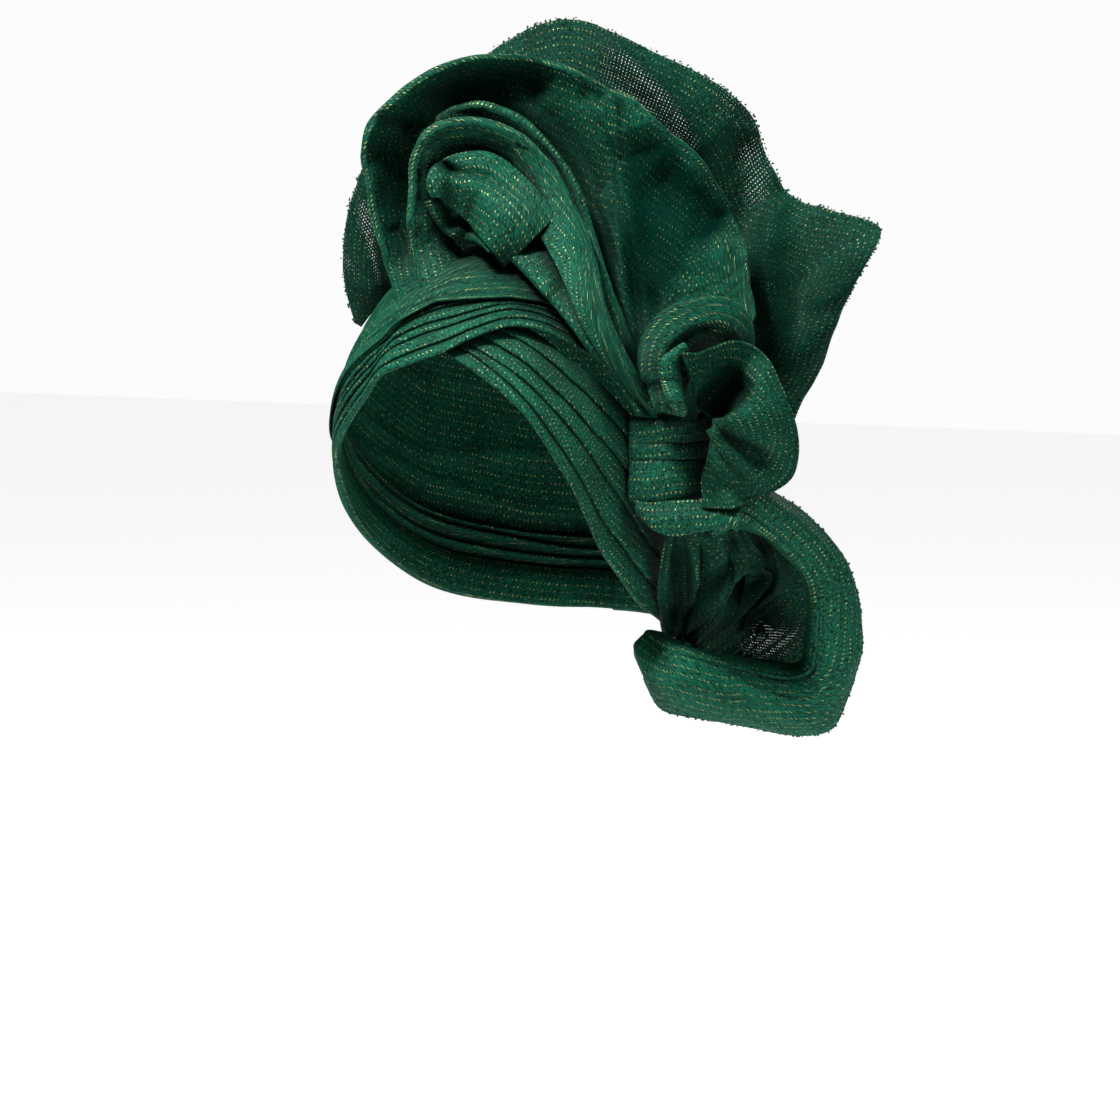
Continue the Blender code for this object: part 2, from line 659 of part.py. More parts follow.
def side_shell(stations, steps, below):
    """The open petal of the side rosette, spread from the knot's mouth and down over the wrap."""
    centre = knot_mouth() + np.array([0.100 * FLARE_WIDTH, 0.0, 0.0])
    grid = []
    under = [underlay(piece) for piece in below]
    for angle, reach, root, middle, rim in smooth_rows(SIDE_SHELL, stations):
        turn = math.radians(angle)
        line = []
        for t in np.linspace(0.10, 1.0, steps):
            radius = reach * SHELL_REACH * t
            out = root * (1 - t) * (1 - 2 * t) + middle * 4 * t * (1 - t) + rim * t * (2 * t - 1)
            x = centre[0] + radius * math.cos(turn)
            point = (x, centre[1] + radius * math.sin(turn), out * FLARE_DEPTH)
            line.append(laid_on(point, 0.0, under))
        grid.append(line)
    sheet = grid_mesh("side_shell", from_flare(np.array(grid)), CLOTH)
    settle(sheet, steps, below)
    return sheet


def tail_gathers(columns, steps, below):
    """The pleated inside of the tail: ribs that bow out from the knot and draw together below."""
    grid = []
    under = [underlay(piece) for piece in below]
    ribs = smooth_rows(TAIL_RIBS, columns)
    heads = flare_points(ribs[:, 0:3])
    feet = flare_points(ribs[:, 3:6])
    for column in range(columns):
        phase = column / (columns - 1) * (len(TAIL_RIBS) - 1)
        line = []
        for t in np.linspace(0.0, 1.0, steps):
            point = heads[column] + (feet[column] - heads[column]) * t
            point[0] += 4 * t * (1 - t) * ribs[column, 6] * FLARE_WIDTH
            point[2] += 4 * t * (1 - t) * ribs[column, 7] * FLARE_DEPTH
            swell = math.sin(math.pi * min(1.0, 0.06 + t)) * (1 - ramp(phase, 3.5, 5.0))
            point[2] += GATHER * math.cos(2 * math.pi * phase) * swell
            line.append(laid_on(point, 0.0, under))
        grid.append(line)
    sheet = grid_mesh("tail_gathers", from_flare(np.array(grid)), CLOTH)
    settle(sheet, steps, below)
    return sheet


def knot_spine(t):
    """A point inside the turn round the knot, and the way out of it there, from one end to the other."""
    start = np.array(head_point(KNOT_START, 0.0, BAND_OUTER + GAP))
    end = np.array(head_point(KNOT_END, 0.0, COVER + LAP_ROOM + GAP))
    backward = unit(end - start)
    outward = np.array([backward[1], -backward[0], 0.0])
    turn = math.pi * t
    spread = (1 - math.cos(turn)) * np.linalg.norm(end - start) / 2
    spine = start + outward * KNOT_REACH * math.sin(turn) ** 0.85 + backward * spread
    return spine, outward * math.sin(turn) - backward * math.cos(turn)


def knot_drop(t, share):
    """How far a share down the knot's turn lies above or below the head's widest plane."""
    narrow = 1 - 0.10 * math.sin(math.pi * t)
    return np.array([0.0, 0.0, KNOT_LEVEL - KNOT_HEIGHT * (0.5 + (share - 0.5) * narrow)])


def knot_wrap(stations):
    """The turn of cloth round the knot: it leaves the head, rounds the bunched folds and comes back."""
    loops = []
    for t in np.linspace(0.0, 1.0, stations):
        spine, normal = knot_spine(t)
        outer = []
        inner = []
        for fold in range(KNOT_FOLDS):
            for s in (0.04, 0.35, 0.65, 0.96):
                sink = knot_drop(t, (fold + s) / KNOT_FOLDS)
                swell = KNOT_WALL + KNOT_SWELL * math.sin(math.pi * s)
                outer.append(tuple(spine + normal * swell + sink))
                inner.append(tuple(spine + sink))
        loops.append(outer + inner[::-1])
    return loop_mesh("knot_wrap", loops)


def folded_strip(name, rows, stations, steps, back, belly, fold_over, below):
    """A folded strip of cloth, laid on the pieces below it."""
    fold, edge = strip_rails(rows, stations, [underlay(piece) for piece in below])
    grid = fold_grid(fold, edge, steps, back, belly, fold_over)
    strip = grid_mesh(name, from_flare(grid), CLOTH)
    settle(strip, grid.shape[1], below)
    return strip


def tied_pieces():
    """Every piece of the tie, by name, each laid on those that were there before it."""
    made = {
        "crown_wrap": crown_wrap(36, 8),
        "over_band": wound_band("over_band", OVER_BAND, OVER_PLEATS, 26, True),
        "under_band": wound_band("under_band", UNDER_BAND, UNDER_PLEATS, 22, False),
        "back_fan": back_fan(26, 5),
        "knot_wrap": knot_wrap(11),
    }
    made["tail_gathers"] = tail_gathers(25, 7, [made[name] for name in ON_HEAD])
    for name, rows, stations, steps, back, belly, fold_over, below in STRIPS:
        lies_on = [made[other] for other in below]
        made[name] = folded_strip(name, rows, stations, steps, back, belly, fold_over, lies_on)
    lies_on = [made[other] for other in SHELL_ON]
    made["side_shell"] = side_shell(16, 5, lies_on)
    return made


def green_cloth(name, colour, roughness):
    material = bpy.data.materials.new(name)
    material.use_nodes = True
    shader = material.node_tree.nodes["Principled BSDF"]
    shader.inputs["Base Color"].default_value = (*colour, 1.0)
    shader.inputs["Roughness"].default_value = roughness
    shader.inputs["Metallic"].default_value = 0.0
    return material


def build():
    for item in list(bpy.data.objects):
        bpy.data.objects.remove(item, do_unlink=True)
    close = green_cloth("close_weave", (0.012, 0.16, 0.09), 0.6)
    sheer = green_cloth("open_weave", (0.010, 0.11, 0.065), 0.7)
    for name, piece in tied_pieces().items():
        piece.data.materials.append(sheer if name in OPEN_WOVEN else close)


build()
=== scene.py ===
"""The looks of a tied gele head tie: woven cloth with gold thread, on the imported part's frame."""

import math

import bmesh
import bpy
import numpy as np
from mathutils import Matrix, Vector
from mathutils.bvhtree import BVHTree


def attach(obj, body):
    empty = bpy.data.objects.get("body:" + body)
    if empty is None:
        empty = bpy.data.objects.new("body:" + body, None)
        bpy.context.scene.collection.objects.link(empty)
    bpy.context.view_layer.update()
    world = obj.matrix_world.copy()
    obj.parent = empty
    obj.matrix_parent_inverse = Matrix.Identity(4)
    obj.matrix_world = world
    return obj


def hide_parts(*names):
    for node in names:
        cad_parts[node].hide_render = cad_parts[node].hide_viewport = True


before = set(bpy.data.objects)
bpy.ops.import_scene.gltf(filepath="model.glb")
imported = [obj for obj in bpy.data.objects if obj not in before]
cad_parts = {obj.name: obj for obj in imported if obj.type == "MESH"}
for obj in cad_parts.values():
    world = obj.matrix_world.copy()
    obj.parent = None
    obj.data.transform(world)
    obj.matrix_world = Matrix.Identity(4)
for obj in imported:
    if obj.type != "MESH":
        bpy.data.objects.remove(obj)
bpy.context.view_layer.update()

# Head opening, in metres. The head faces -Y, +X is the wearer's left,
# and the origin is at its middle.
HEAD_BREADTH = 0.152
HEAD_LENGTH = 0.192
CROWN_HEIGHT = 0.078
NAPE_DROP = 0.092
NAPE_TAPER = 0.14

# Cloth, and the turns of it that are wound round the head
CLOTH = 0.0015
GAP = 0.0004
WOUND = 0.0026
PLEAT_STEP = 0.0012
PLEAT_BULGE = 0.0007
OVER_PLEATS = 5
UNDER_PLEATS = 5

# The flare is laid out in a plane that is turned from the face towards the wearer's left.
FLARE_TURN = math.radians(32)
FLARE_WIDTH = 0.250
FLARE_HEIGHT = 0.190
FLARE_DEPTH = 0.100
FAN_REACH = 0.113
FOLD_TURN = 0.0024

# Side knot: its mouth, and where the turn of cloth round it leaves the head and comes back
KNOT_SIDE = math.radians(76.5)
KNOT_START = math.radians(77)
KNOT_END = math.radians(110)
KNOT_LEVEL = 0.0143
KNOT_HEIGHT = 0.039
KNOT_REACH = 0.0255
KNOT_WALL = 0.0032
KNOT_SWELL = 0.0022
KNOT_FOLDS = 3
KNOT_BUNCH = 0.0100
SHELL_REACH = 0.050
GATHER = 0.0026

# Layers above the head form
BAND_OUTER = WOUND + PLEAT_STEP + PLEAT_BULGE
STACK = BAND_OUTER + GAP
COVER = BAND_OUTER + GAP + CLOTH
CROWN_PUFF = 0.0045

# How cloth is laid on the pieces under it: the probes round each point, and the room left
LAY_STEPS = ((0, 0), (1, 0), (-1, 0), (0, 1), (0, -1))
LAY_SPREAD = 0.004
LAY_ROOM = 0.0005
LAY_DEPTH = 0.042
LAP_ROOM = 0.0008
SETTLE_STEP = 0.0006
SETTLE_LIMIT = 40

# Lower and upper hems of the bands: angle round the head from the front, in degrees,
# then the two heights as shares of the crown's height or, below zero, of the nape's drop.
OVER_BAND = (
    # side, low, high
    (66, 0.53, 0.86),
    (56, 0.63, 0.89),
    (47, 0.70, 0.92),
    (35, 0.72, 0.94),
    (23, 0.66, 0.94),
    (12, 0.57, 0.93),
    (0, 0.50, 0.90),
    (-11, 0.42, 0.82),
    (-22, 0.26, 0.68),
    (-33, 0.08, 0.52),
    (-52, -0.17, 0.24),
    (-80, -0.56, -0.14),
    (-110, -0.85, -0.44),
    (-145, -0.96, -0.58),
    (-180, -0.98, -0.62),
    (-194, -0.975, -0.62),
)
UNDER_BAND = (
    # side, low, high
    (-6, 0.70, 0.84),
    (4, 0.63, 0.86),
    (12, 0.57, 0.84),
    (22, 0.49, 0.82),
    (33, 0.36, 0.77),
    (42, 0.20, 0.72),
    (50, -0.02, 0.64),
    (57, -0.21, 0.54),
    (65, -0.46, 0.42),
    (72, -0.60, 0.30),
    (84, -0.78, 0.06),
    (96, -0.88, -0.16),
    (110, -0.94, -0.36),
    (140, -0.97, -0.56),
    (178, -0.98, -0.62),
)
CROWN_RIM = (
    # side, height
    (-180, -0.54),
    (-145, -0.50),
    (-110, -0.36),
    (-80, -0.05),
    (-50, 0.31),
    (-31, 0.52),
    (-17, 0.68),
    (-7, 0.78),
    (2, 0.86),
    (17, 0.88),
    (35, 0.89),
    (50, 0.86),
    (62, 0.76),
    (75, 0.48),
    (90, 0.10),
    (110, -0.26),
    (145, -0.48),
    (180, -0.54),
)

# Folded strips: where the fold lies and where the free edge lies, measured from the knot's mouth
# as shares of the flare's width and height, and how far each stands out, as a share of its depth.
# Columns: fold across, fold rise, fold out, edge across, edge rise, edge out
SLANT_PLEAT = (
    (-0.315, 0.425, 0.24, -0.235, 0.560, 0.16),
    (-0.250, 0.375, 0.36, -0.165, 0.500, 0.24),
    (-0.195, 0.305, 0.50, -0.120, 0.405, 0.30),
    (-0.135, 0.210, 0.62, -0.085, 0.280, 0.50),
    (-0.080, 0.110, 0.66, -0.050, 0.150, 0.60),
    (-0.040, 0.050, 0.66, -0.018, 0.060, 0.62),
    (-0.016, 0.005, 0.66, 0.002, 0.005, 0.64),
)
FRONT_FAN = (
    (-0.482, 0.262, 0.12, -0.430, 0.290, 0.08),
    (-0.490, 0.360, 0.14, -0.432, 0.375, 0.08),
    (-0.508, 0.480, 0.15, -0.440, 0.480, 0.02),
    (-0.520, 0.580, 0.17, -0.440, 0.560, 0.00),
    (-0.520, 0.685, 0.20, -0.435, 0.670, -0.02),
    (-0.440, 0.795, 0.22, -0.385, 0.715, -0.02),
    (-0.310, 0.870, 0.22, -0.275, 0.695, 0.00),
    (-0.160, 0.850, 0.20, -0.165, 0.605, 0.04),
    (-0.050, 0.785, 0.19, -0.100, 0.435, 0.16),
    (0.015, 0.720, 0.17, -0.045, 0.250, 0.43),
    (0.085, 0.645, 0.14, 0.015, 0.120, 0.53),
    (0.128, 0.570, 0.07, 0.058, 0.110, 0.49),
    (0.162, 0.490, 0.03, 0.090, 0.128, 0.42),
    (0.184, 0.410, 0.07, 0.118, 0.160, 0.36),
    (0.196, 0.325, 0.14, 0.142, 0.205, 0.30),
    (0.206, 0.235, 0.20, 0.166, 0.150, 0.30),
)
OUTER_PETAL = (
    (-0.395, 0.735, 0.04, -0.385, 0.700, 0.02),
    (-0.360, 0.745, 0.17, -0.352, 0.665, 0.06),
    (-0.310, 0.755, 0.26, -0.300, 0.650, 0.07),
    (-0.245, 0.730, 0.27, -0.265, 0.610, 0.08),
    (-0.185, 0.665, 0.27, -0.225, 0.550, 0.10),
    (-0.135, 0.570, 0.28, -0.185, 0.465, 0.14),
    (-0.095, 0.435, 0.32, -0.150, 0.365, 0.22),
    (-0.060, 0.280, 0.46, -0.110, 0.225, 0.40),
    (-0.010, 0.130, 0.56, -0.045, 0.105, 0.53),
    (0.050, 0.010, 0.56, 0.030, 0.010, 0.55),
)
MIDDLE_PETAL = (
    (-0.432, 0.335, 0.26, -0.345, 0.375, 0.18),
    (-0.440, 0.445, 0.34, -0.350, 0.430, 0.15),
    (-0.435, 0.555, 0.36, -0.365, 0.525, 0.12),
    (-0.425, 0.655, 0.36, -0.355, 0.580, 0.12),
    (-0.370, 0.715, 0.36, -0.345, 0.605, 0.14),
    (-0.310, 0.715, 0.36, -0.320, 0.600, 0.15),
    (-0.235, 0.680, 0.36, -0.290, 0.580, 0.16),
    (-0.175, 0.605, 0.36, -0.235, 0.510, 0.18),
    (-0.135, 0.510, 0.38, -0.190, 0.420, 0.22),
    (-0.100, 0.390, 0.42, -0.150, 0.315, 0.36),
    (-0.075, 0.255, 0.54, -0.110, 0.200, 0.52),
    (-0.030, 0.125, 0.60, -0.055, 0.100, 0.58),
    (0.026, 0.010, 0.61, 0.006, 0.010, 0.60),
)
HEART_FOLD = (
    (-0.400, 0.560, 0.37, -0.395, 0.530, 0.35),
    (-0.395, 0.600, 0.38, -0.380, 0.525, 0.36),
    (-0.355, 0.630, 0.39, -0.360, 0.505, 0.37),
    (-0.300, 0.635, 0.40, -0.340, 0.480, 0.38),
    (-0.245, 0.605, 0.40, -0.315, 0.450, 0.39),
    (-0.195, 0.560, 0.39, -0.290, 0.425, 0.39),
    (-0.160, 0.520, 0.38, -0.265, 0.395, 0.39),
)
HEART_LIP = (
    (-0.405, 0.525, 0.26, -0.385, 0.535, 0.17),
    (-0.390, 0.480, 0.29, -0.365, 0.520, 0.16),
    (-0.365, 0.440, 0.30, -0.345, 0.500, 0.16),
    (-0.325, 0.415, 0.31, -0.315, 0.475, 0.16),
    (-0.290, 0.400, 0.31, -0.285, 0.455, 0.18),
)
SIDE_HOOD = (
    (0.032, 0.014, 0.68, 0.056, 0.012, 0.62),
    (0.022, 0.080, 0.71, 0.072, 0.090, 0.54),
    (0.022, 0.145, 0.71, 0.086, 0.118, 0.48),
    (0.045, 0.195, 0.70, 0.100, 0.138, 0.46),
    (0.082, 0.228, 0.68, 0.118, 0.158, 0.45),
    (0.125, 0.240, 0.65, 0.133, 0.166, 0.44),
    (0.158, 0.225, 0.62, 0.145, 0.158, 0.44),
    (0.178, 0.190, 0.57, 0.154, 0.142, 0.45),
    (0.184, 0.150, 0.54, 0.162, 0.125, 0.46),
)
SIDE_LEAF = (
    (0.055, 0.012, 0.74, 0.074, 0.012, 0.73),
    (0.034, 0.065, 0.76, 0.062, 0.058, 0.74),
    (0.022, 0.130, 0.78, 0.060, 0.105, 0.76),
    (0.040, 0.160, 0.79, 0.065, 0.125, 0.77),
    (0.065, 0.180, 0.78, 0.075, 0.150, 0.77),
)
KNOT_TUCK = (
    (-0.012, -0.240, 0.70, -0.017, -0.205, 0.68),
    (0.010, -0.270, 0.71, 0.010, -0.202, 0.68),
    (0.050, -0.285, 0.71, 0.045, -0.199, 0.69),
    (0.085, -0.275, 0.69, 0.085, -0.197, 0.67),
    (0.122, -0.264, 0.66, 0.118, -0.196, 0.64),
    (0.168, -0.256, 0.59, 0.160, -0.190, 0.57),
)
TAIL_RIM = (
    (0.142, -0.232, 0.40, 0.192, -0.158, 0.34),
    (0.185, -0.262, 0.48, 0.240, -0.200, 0.41),
    (0.250, -0.330, 0.46, 0.300, -0.250, 0.38),
    (0.300, -0.405, 0.44, 0.375, -0.370, 0.36),
    (0.310, -0.470, 0.42, 0.400, -0.470, 0.34),
    (0.310, -0.555, 0.40, 0.405, -0.575, 0.32),
    (0.300, -0.625, 0.38, 0.385, -0.700, 0.30),
    (0.250, -0.640, 0.36, 0.330, -0.805, 0.28),
    (0.185, -0.620, 0.34, 0.225, -0.785, 0.27),
    (0.130, -0.605, 0.32, 0.125, -0.765, 0.26),
    (0.080, -0.580, 0.30, 0.060, -0.745, 0.25),
    (0.042, -0.570, 0.24, 0.018, -0.725, 0.19),
    (0.010, -0.565, 0.14, -0.004, -0.665, 0.10),
)

# Ribs of the tail's gathers: head and foot of each, in the same shares,
# and how far it bows across and out
TAIL_RIBS = (
    # head across, head rise, head out, foot across, foot rise, foot out, bow, bulge
    (0.045, -0.225, 0.62, 0.035, -0.565, 0.22, -0.015, 0.02),
    (0.065, -0.222, 0.65, 0.075, -0.575, 0.20, 0.005, 0.04),
    (0.090, -0.220, 0.64, 0.080, -0.585, 0.18, 0.035, 0.05),
    (0.115, -0.220, 0.60, 0.090, -0.595, 0.16, 0.065, 0.03),
    (0.140, -0.220, 0.54, 0.105, -0.610, 0.15, 0.095, -0.02),
    (0.165, -0.222, 0.45, 0.130, -0.630, 0.14, 0.125, -0.08),
    (0.190, -0.225, 0.36, 0.180, -0.660, 0.13, 0.150, -0.14),
    (0.215, -0.230, 0.27, 0.240, -0.700, 0.12, 0.160, -0.16),
)

# The back fan, by angle above the wearer's left: how far its hem stands off the head,
# as a share of its reach, and how far the hem stands out, as a share of the flare's depth.
BACK_FAN = (
    # angle, reach, out
    (145, 0.05, -0.20),
    (139, 0.20, -0.22),
    (128, 0.40, -0.25),
    (119, 0.55, -0.28),
    (109, 0.69, -0.32),
    (96, 0.84, -0.36),
    (83, 1.00, -0.32),
    (72, 0.95, -0.26),
    (60, 0.94, -0.22),
    (52, 0.90, -0.28),
    (45, 0.78, -0.38),
    (39, 0.81, -0.34),
    (32, 0.94, -0.24),
    (28, 1.00, -0.18),
    (22, 0.68, -0.20),
    (16, 0.61, -0.22),
    (6, 0.44, -0.24),
    (1, 0.39, -0.24),
)

# The side rosette's shell, by angle round the knot's mouth: its reach as a share,
# and how far its rim and its middle stand out, as shares of the flare's depth.
SIDE_SHELL = (
    # angle, reach, root out, middle out, rim out
    (108, 0.64, 0.70, 0.76, 0.76),
    (88, 0.62, 0.70, 0.72, 0.74),
    (68, 0.76, 0.70, 0.66, 0.66),
    (50, 0.80, 0.71, 0.64, 0.60),
    (28, 0.78, 0.74, 0.76, 0.64),
    (5, 0.80, 0.77, 0.82, 0.66),
    (-16, 0.91, 0.79, 0.76, 0.62),
    (-33, 1.00, 0.80, 0.72, 0.58),
    (-48, 0.95, 0.81, 0.80, 0.60),
    (-66, 0.84, 0.82, 0.84, 0.66),
    (-84, 0.81, 0.83, 0.82, 0.69),
)

# The folded strips in the order they are laid. Steps are across the face, round the fold and
# down the back; back is the flap's share of the flare's width, belly the face's swell as a share
# of its own.
ON_HEAD = ("crown_wrap", "over_band", "under_band")
STRIPS = (
    # name, rows, stations, steps, back, belly, fold over in degrees, pieces it lies on
    ("front_fan", FRONT_FAN, 26, (6, 3, 3), 0.120, -0.03, 150, (*ON_HEAD, "back_fan")),
    ("outer_petal", OUTER_PETAL, 18, (4, 3, 2), 0.040, 0.04, 172, (*ON_HEAD, "front_fan")),
    ("slant_pleat", SLANT_PLEAT, 12, (4, 3, 2), 0.040, 0.02, 172,
     (*ON_HEAD, "front_fan", "outer_petal")),
    ("middle_petal", MIDDLE_PETAL, 20, (4, 3, 2), 0.048, 0.05, 172,
     (*ON_HEAD, "front_fan", "outer_petal", "slant_pleat")),
    ("heart_lip", HEART_LIP, 8, (3, 3, 2), 0.024, 0.0, 172,
     (*ON_HEAD, "front_fan", "outer_petal", "slant_pleat", "middle_petal")),
    ("heart_fold", HEART_FOLD, 10, (4, 3, 2), 0.048, 0.10, 172,
     (*ON_HEAD, "front_fan", "outer_petal", "slant_pleat", "middle_petal", "heart_lip")),
    ("tail_rim", TAIL_RIM, 16, (5, 3, 3), 0.088, 0.06, 100, (*ON_HEAD, "tail_gathers")),
    ("knot_tuck", KNOT_TUCK, 9, (4, 3, 2), 0.032, 0.12, 172,
     (*ON_HEAD, "tail_gathers", "tail_rim")),
    ("side_hood", SIDE_HOOD, 12, (4, 3, 3), 0.064, 0.05, 62,
     (*ON_HEAD, "front_fan", "outer_petal", "middle_petal", "slant_pleat")),
    ("side_leaf", SIDE_LEAF, 8, (3, 3, 2), 0.024, 0.05, 172,
     ("side_hood", "middle_petal", "outer_petal")),
)
SHELL_ON = ("side_hood", "side_leaf", "knot_wrap", "knot_tuck", "tail_rim", "tail_gathers")
OPEN_WOVEN = ("back_fan", "tail_rim", "tail_gathers")


def between(before, first, second, after, t):
    """A point on the smooth curve from the second of four rows to the third."""
    bend = 2 * before - 5 * first + 4 * second - after
    twist = 3 * first - before - 3 * second + after
    return first + 0.5 * t * (second - before + t * (bend + t * twist))


def smooth_rows(rows, count):
    """Rows of a table, taken at even steps along a smooth curve through them."""
    table = np.array(rows, dtype=float)
    padded = np.vstack([2 * table[0] - table[1], table, 2 * table[-1] - table[-2]])
    curve = []
    for start in range(len(table) - 1):
        for t in np.linspace(0.0, 1.0, 12, endpoint=False):
            curve.append(between(*padded[start:start + 4], t))
    curve.append(table[-1])
    curve = np.array(curve)
    spans = np.linalg.norm(np.diff(curve / np.ptp(curve, axis=0).max(), axis=0), axis=1)
    length = np.concatenate([[0.0], np.cumsum(spans)])
    wanted = np.linspace(0.0, length[-1], count)
    return np.column_stack([np.interp(wanted, length, column) for column in curve.T])


def level(share):
    """A height above or below the head's widest plane."""
    return share * (CROWN_HEIGHT if share > 0 else NAPE_DROP)


def head_point(side, height, lift):
    """A point on the head form raised by a lift. The side is an angle from the front."""
    if height > 0:
        girth = math.sqrt(max(0.0, 1 - (height / (CROWN_HEIGHT + lift)) ** 2))
    else:
        girth = 1 - NAPE_TAPER * (height / NAPE_DROP) ** 2
    x = (HEAD_BREADTH / 2 + lift) * girth * math.sin(side)
    y = -(HEAD_LENGTH / 2 + lift) * girth * math.cos(side)
    return (x, y, height)


def head_side(angle, out, lift):
    """The raised head form's radius in the flare's plane, at an angle and a distance out."""
    a = HEAD_BREADTH / 2 + lift
    b = HEAD_LENGTH / 2 + lift
    c = CROWN_HEIGHT + lift
    sine = math.sin(FLARE_TURN)
    cosine = math.cos(FLARE_TURN)
    level_part = (cosine / a) ** 2 + (sine / b) ** 2
    square = math.cos(angle) ** 2 * level_part + (math.sin(angle) / c) ** 2
    linear = 2 * math.cos(angle) * out * sine * cosine * (1 / a ** 2 - 1 / b ** 2)
    rest = out ** 2 * ((sine / a) ** 2 + (cosine / b) ** 2) - 1
    return (-linear + math.sqrt(linear ** 2 - 4 * square * rest)) / (2 * square)


def from_flare(points):
    """Points given across, up and out of the flare's plane, turned into the head's own axes."""
    points = np.asarray(points, dtype=float)
    across = points[..., 0]
    height = points[..., 1]
    out = points[..., 2]
    x = across * math.cos(FLARE_TURN) + out * math.sin(FLARE_TURN)
    y = across * math.sin(FLARE_TURN) - out * math.cos(FLARE_TURN)
    return np.stack([x, y, height], axis=-1)


def knot_mouth():
    """The knot's mouth, across, up and out of the flare's plane."""
    return to_flare(head_point(KNOT_SIDE, KNOT_LEVEL, BAND_OUTER + KNOT_BUNCH))


def flare_points(shares):
    """Rows of shares (across, rise, out) as points in the flare's plane."""
    mouth = knot_mouth()
    across = mouth[0] + shares[:, 0] * FLARE_WIDTH
    height = mouth[1] + shares[:, 1] * FLARE_HEIGHT
    return np.stack([across, height, shares[:, 2] * FLARE_DEPTH], axis=1)


def to_flare(points):
    """Points in the head's own axes, turned into the flare's plane."""
    points = np.asarray(points, dtype=float)
    x = points[..., 0]
    y = points[..., 1]
    across = x * math.cos(FLARE_TURN) + y * math.sin(FLARE_TURN)
    out = x * math.sin(FLARE_TURN) - y * math.cos(FLARE_TURN)
    return np.stack([across, points[..., 2], out], axis=-1)


def underlay(piece):
    """A finished piece as a surface that later cloth lies on, and half its sheet's thickness."""
    points = to_flare([vertex.co for vertex in piece.data.vertices])
    faces = [tuple(face.vertices) for face in piece.data.polygons]
    tree = BVHTree.FromPolygons([Vector(point) for point in points], faces)
    return (tree, CLOTH / 2 if piece.modifiers else 0.0)


def laid_on(point, lift, under):
    """A point brought forward until it clears every piece that it lies on."""
    across, height, out = point
    for tree, half_thickness in under:
        for step_across, step_up in LAY_STEPS:
            start = Vector((across + step_across * LAY_SPREAD, height + step_up * LAY_SPREAD, 0.3))
            place = tree.ray_cast(start, Vector((0.0, 0.0, -1.0)))[0]
            if place is not None and place.z - out < LAY_DEPTH:
                out = max(out, place.z + half_thickness + CLOTH / 2 + GAP + LAY_ROOM + lift)
    return np.array([across, height, out])


def solid_of(piece):
    """The piece with its modifiers, as triangles in the flare's plane and the points they join."""
    shape = piece.evaluated_get(bpy.context.evaluated_depsgraph_get()).to_mesh()
    shape.calc_loop_triangles()
    points = to_flare([vertex.co for vertex in shape.vertices])
    faces = [tuple(face.vertices) for face in shape.loop_triangles]
    piece.evaluated_get(bpy.context.evaluated_depsgraph_get()).to_mesh_clear()
    return points, faces


def solid_tree(piece):
    points, faces = solid_of(piece)
    return BVHTree.FromPolygons([Vector(point) for point in points], faces)


def settle(piece, columns, clear_of):
    """Rows of a sheet moved outwards, a little at a time, until they clear the pieces given."""
    trees = [solid_tree(other) for other in clear_of]
    count = len(piece.data.vertices)
    rows = count // columns
    for _ in range(SETTLE_LIMIT):
        points, faces = solid_of(piece)
        tree = BVHTree.FromPolygons([Vector(point) for point in points], faces)
        hit = np.zeros(rows)
        for other in trees:
            for face, _ in tree.overlap(other):
                for corner in faces[face]:
                    hit[(corner % count) // columns] = 1.0
        if not hit.any():
            return
        spread = hit.copy()
        spread[1:] = np.maximum(spread[1:], 0.5 * hit[:-1])
        spread[:-1] = np.maximum(spread[:-1], 0.5 * hit[1:])
        for index, vertex in enumerate(piece.data.vertices):
            across, height, _ = to_flare(vertex.co)
            away = unit(np.array([0.3 * across, 0.3 * max(height, 0.0), FLARE_DEPTH]))
            vertex.co += Vector(from_flare(away)) * (SETTLE_STEP * spread[index // columns])


def unit(vectors):
    return vectors / np.maximum(np.linalg.norm(vectors, axis=-1, keepdims=True), 1e-9)


def strip_rails(rows, stations, under):
    """The fold and the free edge of a strip, in the flare's plane, laid on what is under them."""
    rails = smooth_rows(rows, stations)
    fold = np.array([laid_on(point, 2 * FOLD_TURN, under) for point in flare_points(rails[:, 0:3])])
    edge = np.array([laid_on(point, 0.0, under) for point in flare_points(rails[:, 3:6])])
    return fold, edge


def fold_grid(fold, edge, steps, back, belly, fold_over):
    """A strip folded over at one side: a face from its free edge to the fold, and a back."""
    face_steps, turn_steps, back_steps = steps
    along = unit(np.gradient((fold + edge) / 2, axis=0))
    across = unit(fold - edge)
    normal = unit(np.cross(across, along))
    normal *= np.sign(normal[:, 2:3])
    width = np.linalg.norm(fold - edge, axis=1)
    last = math.radians(90 - fold_over)
    grid = []
    for row in range(len(fold)):
        turn = min(FOLD_TURN, 0.28 * width[row])
        flap = min(back * FLARE_WIDTH, 0.45 * width[row])
        line = []
        for t in np.linspace(0.0, 1.0, face_steps):
            rise = turn * t * t * (3 - 2 * t) + belly * width[row] * math.sin(math.pi * t)
            line.append((t * (width[row] - turn), rise))
        for share in np.linspace(0.0, 1.0, turn_steps + 2)[1:-1]:
            angle = math.radians(90 - share * fold_over)
            line.append((width[row] - turn + turn * math.cos(angle), turn * math.sin(angle)))
        for t in np.linspace(0.0, 1.0, back_steps):
            run = width[row] - turn + turn * math.cos(last) + t * flap * math.sin(last)
            line.append((run, turn * math.sin(last) - t * flap * math.cos(last)))
        grid.append([edge[row] + across[row] * run + normal[row] * rise for run, rise in line])
    return np.array(grid)


